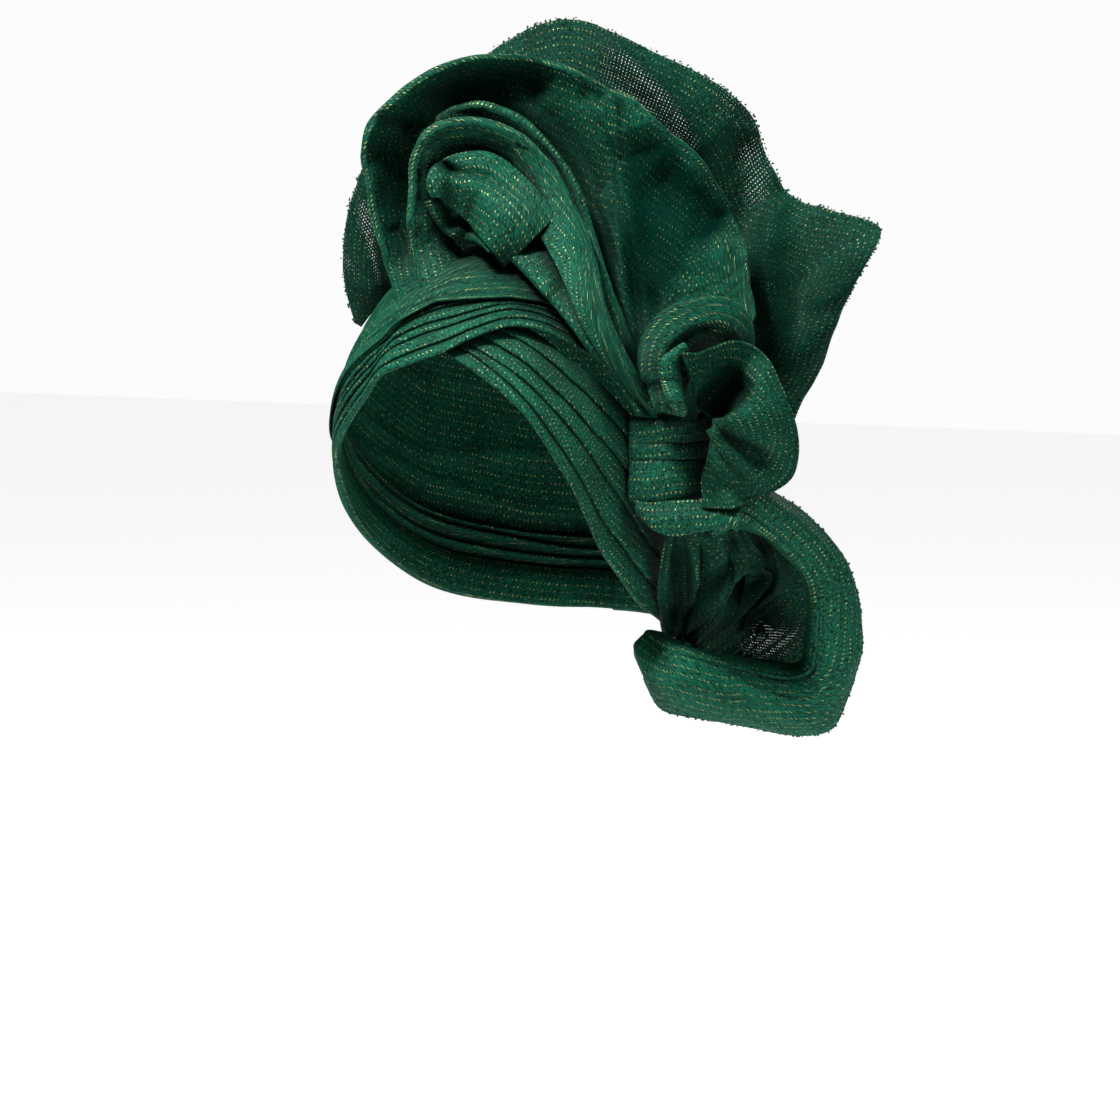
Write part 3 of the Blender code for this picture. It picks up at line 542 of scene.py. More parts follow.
def grid_mesh(name, grid, thickness):
    """A closed sheet from a grid of points in the head's axes, half its thickness to each side."""
    rows, columns = grid.shape[:2]
    build = bmesh.new()
    corners = [[build.verts.new(point) for point in line] for line in grid]
    for i in range(rows - 1):
        for j in range(columns - 1):
            near_side = (corners[i][j], corners[i + 1][j])
            build.faces.new((*near_side, corners[i + 1][j + 1], corners[i][j + 1]))
    return thickened(built(name, build), thickness)


def add_object(name, mesh):
    piece = bpy.data.objects.new(name, mesh)
    bpy.context.collection.objects.link(piece)
    return piece


def built(name, build):
    """An object made from a finished bmesh."""
    mesh = bpy.data.meshes.new(name)
    build.to_mesh(mesh)
    build.free()
    return add_object(name, mesh)


def thickened(piece, thickness):
    """The piece with half of a thickness added to each side of its faces."""
    solidify = piece.modifiers.new("cloth", "SOLIDIFY")
    solidify.thickness = thickness
    solidify.offset = 0.0
    solidify.use_even_offset = False
    return piece


def loop_mesh(name, loops):
    """A closed body lofted through closed loops of points, with a flat cap at each end."""
    build = bmesh.new()
    rings = [[build.verts.new(point) for point in loop] for loop in loops]
    size = len(rings[0])
    for first, second in zip(rings, rings[1:]):
        for j in range(size):
            k = (j + 1) % size
            build.faces.new((first[j], first[k], second[k], second[j]))
    half = size // 2
    for ring in (rings[0], rings[-1]):
        for j in range(half - 1):
            build.faces.new((ring[j], ring[j + 1], ring[size - 2 - j], ring[size - 1 - j]))
    bmesh.ops.recalc_face_normals(build, faces=build.faces)
    return built(name, build)


def ramp(value, start, end):
    t = min(1.0, max(0.0, (value - start) / (end - start)))
    return t * t * (3 - 2 * t)


def stacked(side):
    """How much of the over band lies on the under band at an angle in degrees, from 0 to 1."""
    front = ramp(side, -22, -9) - ramp(side, 67, 78)
    nape = ramp(abs(side), 158, 172)
    return max(front, nape)


def pleat_profile(pleats):
    """Shares up a band and the lift of its outer face: each pleat laps over the one below."""
    profile = []
    for pleat in range(pleats):
        for t in (0.02, 0.5, 0.98):
            lift = WOUND + PLEAT_STEP * (1 - t) + PLEAT_BULGE * math.sin(math.pi * t)
            profile.append(((pleat + t) / pleats, lift))
    return profile


def wound_band(name, rows, pleats, stations, over):
    """A pleated band wound round the head, from one end of its table to the other."""
    hems = smooth_rows(rows, stations)
    profile = pleat_profile(pleats)
    loops = []
    for side, low, high in hems:
        base = STACK * stacked(side) if over else 0.0
        outer = []
        inner = []
        for share, lift in profile:
            height = level(low + share * (high - low))
            outer.append(head_point(math.radians(side), height, base + lift))
            inner.append(head_point(math.radians(side), height, base))
        loops.append(outer + inner[::-1])
    return loop_mesh(name, loops)


def dome_point(side, turn, lift):
    """A point on the raised crown. The turn is its angle above the head's widest plane."""
    x = (HEAD_BREADTH / 2 + lift) * math.cos(turn) * math.sin(side)
    y = -(HEAD_LENGTH / 2 + lift) * math.cos(turn) * math.cos(side)
    return (x, y, (CROWN_HEIGHT + lift) * math.sin(turn))


def crown_line(degrees, rings):
    """Points up the crown at an angle round the head, from its rim to just short of the top."""
    table = np.array(CROWN_RIM, dtype=float)
    side = math.radians(degrees)
    rim = level(np.interp(degrees, table[:, 0], table[:, 1]))
    lip = BAND_OUTER + GAP + LAP_ROOM + STACK * stacked(degrees) + CLOTH / 2
    start = math.asin(rim / (CROWN_HEIGHT + lip)) if rim > 0 else rim / CROWN_HEIGHT
    line = []
    for ring in range(rings):
        t = ring / rings
        turn = start + t * (math.pi / 2 - start)
        lift = lip + (COVER + STACK + CROWN_PUFF - CLOTH / 2 - lip) * ramp(t, 0.10, 0.70)
        if turn > 0:
            line.append(dome_point(side, turn, lift))
        else:
            line.append(head_point(side, CROWN_HEIGHT * turn, lift))
    return line


def crown_wrap(spokes, rings):
    """The sheet that closes the crown and laps over the tops of both bands."""
    build = bmesh.new()
    lines = []
    for degrees in np.linspace(-180, 180, spokes, endpoint=False):
        lines.append([build.verts.new(point) for point in crown_line(degrees, rings)])
    top = build.verts.new(dome_point(0.0, math.pi / 2, COVER + STACK + CROWN_PUFF - CLOTH / 2))
    for i in range(spokes):
        j = (i + 1) % spokes
        for ring in range(rings - 1):
            lower = (lines[i][ring], lines[j][ring])
            build.faces.new((*lower, lines[j][ring + 1], lines[i][ring + 1]))
        build.faces.new((lines[i][-1], lines[j][-1], top))
    return thickened(built("crown_wrap", build), CLOTH)


def back_fan(stations, steps):
    """The open sheet that flares behind: a grid of rays from the crown to its hem."""
    grid = []
    root_out = -0.20 * FLARE_DEPTH
    for angle, reach, out in smooth_rows(BACK_FAN, stations):
        turn = math.radians(angle)
        foot = head_side(turn, root_out, COVER + STACK + CROWN_PUFF + GAP)
        rim = CROWN_HEIGHT + STACK + BAND_OUTER + reach * FAN_REACH
        line = []
        for t in np.linspace(0.0, 1.0, steps):
            radius = foot + (max(rim, foot + 0.004) - foot) * t
            depth = root_out + (out * FLARE_DEPTH - root_out) * t * t
            line.append((radius * math.cos(turn), radius * math.sin(turn), depth))
        grid.append(line)
    return grid_mesh("back_fan", from_flare(np.array(grid)), CLOTH)


def side_shell(stations, steps, below):
    """The open petal of the side rosette, spread from the knot's mouth and down over the wrap."""
    centre = knot_mouth() + np.array([0.100 * FLARE_WIDTH, 0.0, 0.0])
    grid = []
    under = [underlay(piece) for piece in below]
    for angle, reach, root, middle, rim in smooth_rows(SIDE_SHELL, stations):
        turn = math.radians(angle)
        line = []
        for t in np.linspace(0.10, 1.0, steps):
            radius = reach * SHELL_REACH * t
            out = root * (1 - t) * (1 - 2 * t) + middle * 4 * t * (1 - t) + rim * t * (2 * t - 1)
            x = centre[0] + radius * math.cos(turn)
            point = (x, centre[1] + radius * math.sin(turn), out * FLARE_DEPTH)
            line.append(laid_on(point, 0.0, under))
        grid.append(line)
    sheet = grid_mesh("side_shell", from_flare(np.array(grid)), CLOTH)
    settle(sheet, steps, below)
    return sheet


def tail_gathers(columns, steps, below):
    """The pleated inside of the tail: ribs that bow out from the knot and draw together below."""
    grid = []
    under = [underlay(piece) for piece in below]
    ribs = smooth_rows(TAIL_RIBS, columns)
    heads = flare_points(ribs[:, 0:3])
    feet = flare_points(ribs[:, 3:6])
    for column in range(columns):
        phase = column / (columns - 1) * (len(TAIL_RIBS) - 1)
        line = []
        for t in np.linspace(0.0, 1.0, steps):
            point = heads[column] + (feet[column] - heads[column]) * t
            point[0] += 4 * t * (1 - t) * ribs[column, 6] * FLARE_WIDTH
            point[2] += 4 * t * (1 - t) * ribs[column, 7] * FLARE_DEPTH
            swell = math.sin(math.pi * min(1.0, 0.06 + t)) * (1 - ramp(phase, 3.5, 5.0))
            point[2] += GATHER * math.cos(2 * math.pi * phase) * swell
            line.append(laid_on(point, 0.0, under))
        grid.append(line)
    sheet = grid_mesh("tail_gathers", from_flare(np.array(grid)), CLOTH)
    settle(sheet, steps, below)
    return sheet


def knot_spine(t):
    """A point inside the turn round the knot, and the way out of it there."""
    start = np.array(head_point(KNOT_START, 0.0, BAND_OUTER + GAP))
    end = np.array(head_point(KNOT_END, 0.0, COVER + LAP_ROOM + GAP))
    backward = unit(end - start)
    outward = np.array([backward[1], -backward[0], 0.0])
    turn = math.pi * t
    spread = (1 - math.cos(turn)) * np.linalg.norm(end - start) / 2
    spine = start + outward * KNOT_REACH * math.sin(turn) ** 0.85 + backward * spread
    return spine, outward * math.sin(turn) - backward * math.cos(turn)


def knot_drop(t, share):
    """How far a share down the knot's turn lies above or below the head's widest plane."""
    narrow = 1 - 0.10 * math.sin(math.pi * t)
    return np.array([0.0, 0.0, KNOT_LEVEL - KNOT_HEIGHT * (0.5 + (share - 0.5) * narrow)])


def knot_wrap(stations):
    """The turn of cloth that leaves the head, rounds the bunched folds and comes back."""
    loops = []
    for t in np.linspace(0.0, 1.0, stations):
        spine, normal = knot_spine(t)
        outer = []
        inner = []
        for fold in range(KNOT_FOLDS):
            for s in (0.04, 0.35, 0.65, 0.96):
                sink = knot_drop(t, (fold + s) / KNOT_FOLDS)
                swell = KNOT_WALL + KNOT_SWELL * math.sin(math.pi * s)
                outer.append(tuple(spine + normal * swell + sink))
                inner.append(tuple(spine + sink))
        loops.append(outer + inner[::-1])
    return loop_mesh("knot_wrap", loops)


def folded_strip(name, rows, stations, steps, back, belly, fold_over, below):
    """A folded strip of cloth, laid on the pieces below it."""
    fold, edge = strip_rails(rows, stations, [underlay(piece) for piece in below])
    grid = fold_grid(fold, edge, steps, back, belly, fold_over)
    strip = grid_mesh(name, from_flare(grid), CLOTH)
    settle(strip, grid.shape[1], below)
    return strip


def tied_pieces():
    """Every piece of the tie, by name, each laid on those that were there before it."""
    made = {
        "crown_wrap": crown_wrap(36, 8),
        "over_band": wound_band("over_band", OVER_BAND, OVER_PLEATS, 26, True),
        "under_band": wound_band("under_band", UNDER_BAND, UNDER_PLEATS, 22, False),
        "back_fan": back_fan(26, 5),
        "knot_wrap": knot_wrap(11),
    }
    made["tail_gathers"] = tail_gathers(25, 7, [made[name] for name in ON_HEAD])
    for name, rows, stations, steps, back, belly, fold_over, below in STRIPS:
        lies_on = [made[other] for other in below]
        made[name] = folded_strip(name, rows, stations, steps, back, belly, fold_over, lies_on)
    lies_on = [made[other] for other in SHELL_ON]
    made["side_shell"] = side_shell(16, 5, lies_on)
    return made


# The cloth as it shows, in metres: its thickness, its threads, the rows of gold dashes and how
# they wander, the holes of the open weave, the knots of a raw selvedge, and how far the painted
# shade in hollows reaches
SHEER = 0.0009
THREAD = 0.00085
ROW_STEP = 0.0078
ROW_GAP = 0.0036
DASH_STEP = 0.0021
DASH_LENGTH = 0.00048
DASH_WIDTH = 0.00085
ROW_WANDER = 0.0016
OPEN_STEP = 0.0019
TUFT = 0.00062
TUFT_STEP = 0.0012
HOLLOW_SHADE_REACH = 0.034

# A pleat, in metres and shares of its width: how far it falls across, how high its turned edge
# stands and how far that edge reaches, and how far it tucks under the next pleat. Then the hem
# inside a band, as shares up it and lifts, and the lifts of the knot's turned edges and folds.
PLEAT_FALL = 0.0022
PLEAT_EDGE = 0.0020
EDGE_REACH = 0.10
PLEAT_TUCK = 0.30
INNER_HEM = ((0.55, 0.0006), (0.30, 0.0006), (0.12, 0.0007), (0.03, 0.0009))
KNOT_HEM = 0.0004
KNOT_FOLD = 0.0012

# The height that sunk ends go in towards, in metres, and the colours of each weave: its dark and
# light green, between which the grain and the painted light and shade are mixed, and its gold
HEART_OF_HEAD = 0.015
CLOSE_COLOURS = ((0.0003, 0.016, 0.011), (0.0066, 0.195, 0.105), (0.70, 0.74, 0.24))
OPEN_COLOURS = ((0.0003, 0.013, 0.009), (0.0060, 0.165, 0.090), (0.48, 0.52, 0.17))

# How finely each piece is drawn. A strip: rows along it, then points across its face, round its
# fold and down its back. The crown: spokes, rings and rings of its skirt. A band: its table,
# pleats, rows, whether it lies over, and its seed. A sheet: rows, columns, and its coarse columns.
FINE = {
    # piece: rows, face, fold, back
    "front_fan": (230, 70, 12, 14),
    "outer_petal": (200, 40, 10, 8),
    "slant_pleat": (140, 34, 10, 8),
    "middle_petal": (230, 44, 10, 8),
    "heart_lip": (90, 26, 10, 6),
    "heart_fold": (130, 54, 10, 8),
    "tail_rim": (200, 44, 14, 12),
    "knot_tuck": (90, 30, 10, 6),
    "side_hood": (130, 44, 10, 8),
    "side_leaf": (80, 26, 10, 6),
}

CROWN_GRID = (271, 76, 8)
FINE_BANDS = {
    "over_band": (OVER_BAND, OVER_PLEATS, 260, True, 21),
    "under_band": (UNDER_BAND, UNDER_PLEATS, 230, False, 22),
}
KNOT_ROWS = 150
FINE_SHEETS = {
    "back_fan": (270, 96, 5),
    "side_shell": (170, 72, 5),
    "tail_gathers": (220, 90, 7),
}

# Camera: turned from the front towards the wearer's left, then lifted, in degrees, and its place,
# in metres
CAMERA_TURN = 32
CAMERA_LIFT = 6
CAMERA_LENS = 108
CAMERA_AWAY = 1.6
CAMERA_ASIDE = 0.0205
CAMERA_RAISED = -0.0576

# The floor's height and half its side, in metres, how brightly the camera sees it and the
# surround, and the surround's own light. Lights: name, how far right of the middle, above it and
# nearer to the camera, size, in metres, and power.
FLOOR_LEVEL = -0.42
FLOOR_REACH = 6.0
FLOOR_SEEN = 0.86
SURROUND_SEEN = 0.92
SURROUND = 0.05
LIT_MIDDLE = (0.03, 0.0, 0.04)
LIGHTS = (
    ("key", -0.55, 1.25, 0.75, 0.32, 36.0),
    ("fill", 1.2, 0.3, 0.9, 0.5, 5.0),
    ("rim", 0.7, 0.9, -1.0, 0.7, 6.0),
)

STRIP_SIZES = {row[0]: row[1:] for row in STRIPS}

# Relief of the strips: seed, height of puckers, height of the folds along them
RELIEF = {
    "front_fan": (1, 0.0009, 0.0006),
    "outer_petal": (2, 0.0004, 0.0006),
    "slant_pleat": (3, 0.0003, 0.0004),
    "middle_petal": (4, 0.0004, 0.0006),
    "heart_lip": (5, 0.0003, 0.0003),
    "heart_fold": (6, 0.0006, 0.0005),
    "tail_rim": (7, 0.0008, 0.0005),
    "knot_tuck": (8, 0.0004, 0.0008),
    "side_hood": (9, 0.0005, 0.0006),
    "side_leaf": (10, 0.0004, 0.0004),
}

# How much more some strips swell than their solids, as a share of their width
SWELL = {
    "tail_rim": 0.21,
    "outer_petal": 0.06,
    "middle_petal": 0.07,
    "heart_fold": 0.06,
    "side_hood": 0.10,
}

# How much further a strip's free edge reaches under what covers it, as a share of its width
LAP = {"front_fan": 0.04}

# How far the shell's last rows go in, and the tail's foot goes in and on, in metres and as a share
SHELL_TUCK = 0.0075
FOOT_SINK = 0.0070
FOOT_REACH = 0.35

# Painted light and shade: how much lighter or darker each piece's green is painted, 1 where it
# isn't named, how much painted shade a metre of depth in a crease gives, and the darkest that
# this painted shade gets
VALLEY_PAINTED_SHADE = 80
DARKEST_PAINTED_SHADE = 0.15
PAINTED_LIGHT_BY_PIECE = {
    "crown_wrap": 0.90,
    "back_fan": 0.74,
    "front_fan": 0.82,
    "slant_pleat": 1.40,
    "side_shell": 0.70,
    "side_hood": 0.90,
    "tail_gathers": 0.75,
    "tail_rim": 1.60,
}

# How far the first and the last rows of a strip go in, in metres, and the share of its length
# over which they do
SUNK = {
    "front_fan": (0.013, 0.0, 0.10),
    "middle_petal": (0.012, 0.0, 0.10),
    "outer_petal": (0.004, 0.0, 0.10),
    "tail_rim": (0.003, 0.006, 0.10),
    "knot_tuck": (0.003, 0.004, 0.10),
    "side_leaf": (0.003, 0.0, 0.10),
    "heart_lip": (0.002, 0.002, 0.10),
    "heart_fold": (0.0, 0.009, 0.45),
}

# Lines in the cloth, as shares across and up the flare, each with its half width in metres. The
# first value of a line of painted shade is what it takes from the painted light, that of a crease
# its height in metres.
PAINTED_SHADES = {
    "front_fan": (
        (-0.80, 0.0160, ((0.000, 0.660), (0.030, 0.560), (0.045, 0.450), (0.020, 0.300))),
        (-0.60, 0.0110, ((0.040, 0.560), (0.100, 0.500), (0.165, 0.440))),
    ),
}
CREASES = {
    "front_fan": (
        (-0.0090, 0.0140,
         ((-0.020, 0.700), (0.005, 0.610), (0.015, 0.480), (0.010, 0.330), (-0.005, 0.200))),
        (-0.0060, 0.0100, ((0.010, 0.600), (0.060, 0.535), (0.110, 0.485), (0.160, 0.450))),
        (-0.0035, 0.0060, ((-0.130, 0.790), (-0.100, 0.785), (-0.070, 0.765))),
        (0.0045, 0.0130, ((0.080, 0.265), (0.130, 0.360), (0.175, 0.435))),
        (-0.0100, 0.0090, ((-0.396, 0.734), (-0.339, 0.797), (-0.244, 0.817), (-0.165, 0.800))),
        (-0.0036, 0.0030, ((0.000, 0.030), (-0.035, 0.160), (-0.065, 0.300), (-0.090, 0.440))),
        (-0.0036, 0.0030, ((0.015, 0.030), (-0.010, 0.180), (-0.025, 0.350), (-0.055, 0.500))),
        (-0.0030, 0.0028, ((0.030, 0.030), (0.020, 0.180), (0.010, 0.325))),
        (-0.0028, 0.0028, ((0.045, 0.040), (0.045, 0.155), (0.055, 0.275))),
        (-0.0050, 0.0026, ((-0.505, 0.721), (-0.460, 0.716), (-0.405, 0.706))),
    ),
    "side_shell": (
        (-0.0080, 0.0065, ((0.180, 0.110), (0.140, 0.060), (0.100, 0.010))),
        (0.0030, 0.0065, ((0.100, -0.005), (0.170, -0.025), (0.240, -0.050))),
        (-0.0028, 0.0034, ((0.120, -0.025), (0.175, -0.065), (0.225, -0.115))),
        (-0.0018, 0.0026, ((0.115, -0.050), (0.145, -0.100), (0.190, -0.165))),
    ),
    "side_hood": (
        (-0.0038, 0.0020, ((0.032, 0.110), (0.046, 0.165), (0.080, 0.205), (0.125, 0.220))),
    ),
    "back_fan": (
        (-0.0090, 0.0090, ((0.255, 0.545), (0.235, 0.370), (0.255, 0.195), (0.285, 0.015))),
        (0.0060, 0.0120, ((0.210, 0.695), (0.190, 0.545), (0.210, 0.395))),
        (-0.0060, 0.0100, ((-0.085, 0.935), (0.040, 0.785), (0.145, 0.595))),
        (-0.0070, 0.0080, ((0.430, 0.395), (0.355, 0.270), (0.305, 0.065))),
        (-0.0040, 0.0080, ((-0.560, 0.570), (-0.520, 0.420), (-0.505, 0.245))),
        (0.0045, 0.0120, ((0.300, 0.510), (0.325, 0.345), (0.300, 0.195))),
    ),
    "tail_rim": (
        (-0.0016, 0.0026, ((0.285, -0.280), (0.360, -0.395), (0.375, -0.560), (0.335, -0.710))),
        (-0.0014, 0.0030, ((0.105, -0.690), (0.215, -0.710), (0.320, -0.725))),
    ),
    "middle_petal": (
        (-0.0013, 0.0030, ((-0.140, 0.485), (-0.085, 0.305), (-0.035, 0.150))),
        (-0.0012, 0.0026, ((-0.420, 0.570), (-0.410, 0.640), (-0.355, 0.700))),
    ),
    "heart_fold": (
        (-0.0060, 0.0022, ((-0.425, 0.590), (-0.387, 0.617), (-0.345, 0.580))),
        (-0.0022, 0.0034, ((-0.360, 0.590), (-0.300, 0.575), (-0.225, 0.520))),
    ),
    "tail_gathers": (
        (-0.0070, 0.0100, ((0.200, -0.400), (0.225, -0.490), (0.210, -0.570))),
        (-0.0052, 0.0030, ((0.061, -0.306), (0.065, -0.481), (0.051, -0.556))),
        (-0.0052, 0.0030, ((0.109, -0.293), (0.114, -0.431), (0.069, -0.556))),
        (-0.0056, 0.0034, ((0.156, -0.281), (0.166, -0.356), (0.080, -0.531))),
        (-0.0056, 0.0036, ((0.213, -0.306), (0.223, -0.406), (0.147, -0.506))),
    ),
}

# How open the weave is, and where it is more so: place across and up the flare, reach both ways
# in metres, lean in degrees, gain
OPEN_BASE = {"back_fan": 0.12, "tail_rim": 0.04, "tail_gathers": 0.02}
OPEN_PLACES = {
    "back_fan": (
        (-0.550, 0.395, 0.012, 0.034, -8, 0.34),
        (-0.005, 0.795, 0.036, 0.010, -50, 0.30),
        (0.200, 0.645, 0.009, 0.036, 20, 0.24),
    ),
    "tail_gathers": ((0.245, -0.570, 0.016, 0.012, 30, 0.34),),
}

# Raw selvedges: column of the grid, and the stretch of it. Then the sheets whose rows of gold run
# across them, those whose rows follow the last column, and the column that the rows start from.
SELVEDGES = {"back_fan": (-1, 0.0, 0.86), "tail_rim": (0, 0.02, 0.97)}
ROWS_ACROSS = ("slant_pleat", "tail_gathers")
EVEN_ROWS = ("back_fan", "side_shell")
ROWS_FROM = {
    "front_fan": 76,
    "outer_petal": 45,
    "middle_petal": 49,
    "heart_fold": 59,
    "heart_lip": 31,
    "tail_rim": 51,
    "side_hood": 49,
    "side_leaf": 31,
    "back_fan": -1,
    "side_shell": -1,
}

# Each sheet's size when it is spread flat, in metres, how it is held, and what it rests on
SHEETS = {
    "crown_wrap": ((0.200, 0.260), "gathered", ("over_band", "under_band")),
    "over_band": ((0.085, 0.410), "folded", ("crown_wrap", "under_band")),
    "under_band": ((0.105, 0.305), "folded", ("over_band",)),
    "back_fan": ((0.080, 0.360), "gathered", ("crown_wrap",)),
    "front_fan": ((0.078, 0.345), "folded", ("crown_wrap",)),
    "outer_petal": ((0.034, 0.210), "folded", ("crown_wrap",)),
    "middle_petal": ((0.036, 0.260), "folded", ("slant_pleat",)),
    "slant_pleat": ((0.036, 0.142), "folded", ("outer_petal",)),
    "heart_fold": ((0.045, 0.067), "folded", ("middle_petal",)),
    "heart_lip": ((0.028, 0.050), "folded", ("heart_fold",)),
    "knot_wrap": ((0.068, 0.100), "folded", ("crown_wrap",)),
    "knot_tuck": ((0.026, 0.056), "folded", ("knot_wrap",)),
    "side_hood": ((0.035, 0.078), "folded", ("middle_petal",)),
    "side_leaf": ((0.022, 0.043), "folded", ("side_hood",)),
    "side_shell": ((0.042, 0.106), "gathered", ("side_leaf",)),
    "tail_gathers": ((0.100, 0.104), "gathered", ("knot_tuck",)),
    "tail_rim": ((0.042, 0.202), "folded", ("tail_gathers",)),
}


def spline(points, count):
    """Points at even steps along the smooth curve through rows of points."""
    padded = np.concatenate([2 * points[:1] - points[1:2], points, 2 * points[-1:] - points[-2:-1]])
    place = np.linspace(0, len(points) - 1, count)
    start = np.minimum(place.astype(int), len(points) - 2)
    t = (place - start).reshape((-1,) + (1,) * (points.ndim - 1))
    return between(*(padded[start + step] for step in range(4)), t)


def refine(grid, rows, columns):
    """A fine grid on the smooth surface through a coarse one."""
    tall = spline(grid, rows)
    return spline(tall.transpose(1, 0, 2), columns).transpose(1, 0, 2)


def noise(u, v, seed):
    """Smooth seeded noise from -1 to 1, with lumps about one unit wide."""
    table = np.random.default_rng(seed).uniform(-1, 1, (64, 64))
    u = np.asarray(u, dtype=float) + 7.3
    v = np.asarray(v, dtype=float) + 5.1
    i = np.floor(u).astype(int)
    j = np.floor(v).astype(int)
    s = (u - i) ** 2 * (3 - 2 * (u - i))
    t = (v - j) ** 2 * (3 - 2 * (v - j))
    low = table[i % 64, j % 64] * (1 - s) + table[(i + 1) % 64, j % 64] * s
    high = table[i % 64, (j + 1) % 64] * (1 - s) + table[(i + 1) % 64, (j + 1) % 64] * s
    return low * (1 - t) + high * t


def lengths(grid):
    """For each point of a grid, how far it lies along its column and along its row, in metres."""
    down = np.linalg.norm(np.diff(grid, axis=0), axis=2)
    across = np.linalg.norm(np.diff(grid, axis=1), axis=2)
    along = np.concatenate([np.zeros((1, grid.shape[1])), np.cumsum(down, axis=0)])
    aside = np.concatenate([np.zeros((grid.shape[0], 1)), np.cumsum(across, axis=1)], axis=1)
    return along, aside


def normals(grid):
    down = np.gradient(grid, axis=0)
    across = np.gradient(grid, axis=1)
    return unit(np.cross(down, across))


def raised(grid, height):
    """A grid moved along its own normals, towards the camera's side for a positive height."""
    facing = normals(grid)
    side = np.sign((facing * grid).sum(axis=2, keepdims=True))
    side = np.sign(side.mean()) if abs(side.mean()) > 0.4 else side
    return grid + facing * side * height[..., None]


def flare_shares(grid):
    """A grid's places as shares across and up the flare, from the knot's mouth."""
    flat = to_flare(grid)
    mouth = knot_mouth()
    return (flat[..., 0] - mouth[0]) / FLARE_WIDTH, (flat[..., 1] - mouth[1]) / FLARE_HEIGHT


def creases(grid, lines):
    """The height that soft creases give to a grid in the head's axes, or how much painted shade
    lines of shade give.
    """
    across, rise = flare_shares(grid)
    height = np.zeros(across.shape)
    for depth, width, path in lines:
        nearest = np.full(across.shape, 9.0)
        fade = np.zeros(across.shape)
        for leg, ((u, v), (m, n)) in enumerate(zip(path, path[1:])):
            du = (m - u) * FLARE_WIDTH
            dv = (n - v) * FLARE_HEIGHT
            x = (across - u) * FLARE_WIDTH
            y = (rise - v) * FLARE_HEIGHT
            t = np.clip((x * du + y * dv) / max(du * du + dv * dv, 1e-9), 0, 1)
            distance = np.hypot(x - t * du, y - t * dv)
            place = (leg + t) / (len(path) - 1)
            full = np.clip(5 * np.minimum(place, 1 - place) + 0.15, 0, 1)
            fade = np.where(distance < nearest, full, fade)
            nearest = np.minimum(nearest, distance)
        height += depth * fade * np.exp(-((nearest / width) ** 2))
    return height


def dressed(name, grid, material, along, aside, openness, painted_light_and_shade):
    """A fine sheet over a grid. Rows of gold run along the first of its cloth coordinates."""
    rows, columns = grid.shape[:2]
    mesh = bpy.data.meshes.new(name)
    corners = grid.reshape(-1, 3)
    index = np.arange(rows * columns).reshape(rows, columns)
    sides = [index[:-1, :-1], index[1:, :-1], index[1:, 1:], index[:-1, 1:]]
    faces = np.stack(sides, axis=-1).reshape(-1, 4)
    mesh.from_pydata(corners.tolist(), [], faces.tolist())
    layer = mesh.uv_layers.new(name="cloth")
    places = np.stack([along.reshape(-1), aside.reshape(-1)], axis=1)
    layer.data.foreach_set("uv", places[faces.reshape(-1)].astype(np.float32).ravel())
    # the tone attribute carries the painted light and shade to the shader
    for kind, values in (("open", openness), ("tone", painted_light_and_shade)):
        layer = mesh.attributes.new(kind, "FLOAT", "POINT")
        layer.data.foreach_set("value", values.reshape(-1).astype(np.float32))
    mesh.polygons.foreach_set("use_smooth", np.ones(len(faces), dtype=bool))
    mesh.update()
    mesh.materials.append(material)
    return thickened(add_object(name, mesh), SHEER)


def fine_strip(name, coarse, made):
    """A folded strip drawn finely on the same fold and free edge as its solid."""
    rows, stations, _, back, belly, fold_over, below = STRIP_SIZES[name]
    fold, edge = strip_rails(rows, stations, [underlay(made[other]) for other in below])
    settled = to_flare([vertex.co for vertex in coarse.data.vertices]).reshape(stations, -1, 3)
    moved = settled[:, 0] - edge
    edge = edge + LAP.get(name, 0.0) * (edge - fold)
    count, *steps = FINE[name]
    belly += SWELL.get(name, 0.0)
    rails = (spline(fold + moved, count), spline(edge + moved, count))
    fine = from_flare(fold_grid(*rails, steps, back, belly, fold_over))
    inward = unit(np.array([0.0, 0.0, HEART_OF_HEAD]) - fine)
    return fine + inward * sunk(name, count)[:, None, None]


def sunk(name, count):
    """How far the rows near a strip's two ends go in under the folds they come from."""
    start, end, reach = SUNK.get(name, (0.0, 0.0, 1.0))
    place = np.linspace(0.0, 1.0, count)
    first = np.clip(1 - place / reach, 0, 1) ** 1.3
    last = np.clip(1 - (1 - place) / reach, 0, 1) ** 1.3
    return start * first + end * last


def strip_height(grid, seed, puckers, ripples):
    """Soft folds along a strip, and smaller puckers, as a height over its face."""
    along, aside = lengths(grid)
    height = ripples * noise(along / 0.050, aside / 0.0075, seed)
    height += 0.45 * ripples * noise(along / 0.022, aside / 0.0040, seed + 1)
    height += puckers * noise(along / 0.014, aside / 0.014, seed + 2)
    return height


def creased(name, grid):
    """A folded strip with its soft creases, which move its face and the flap behind it together."""
    flat = to_flare(grid)
    flat[..., 2] += creases(grid, CREASES.get(name, ()))
    return from_flare(flat)


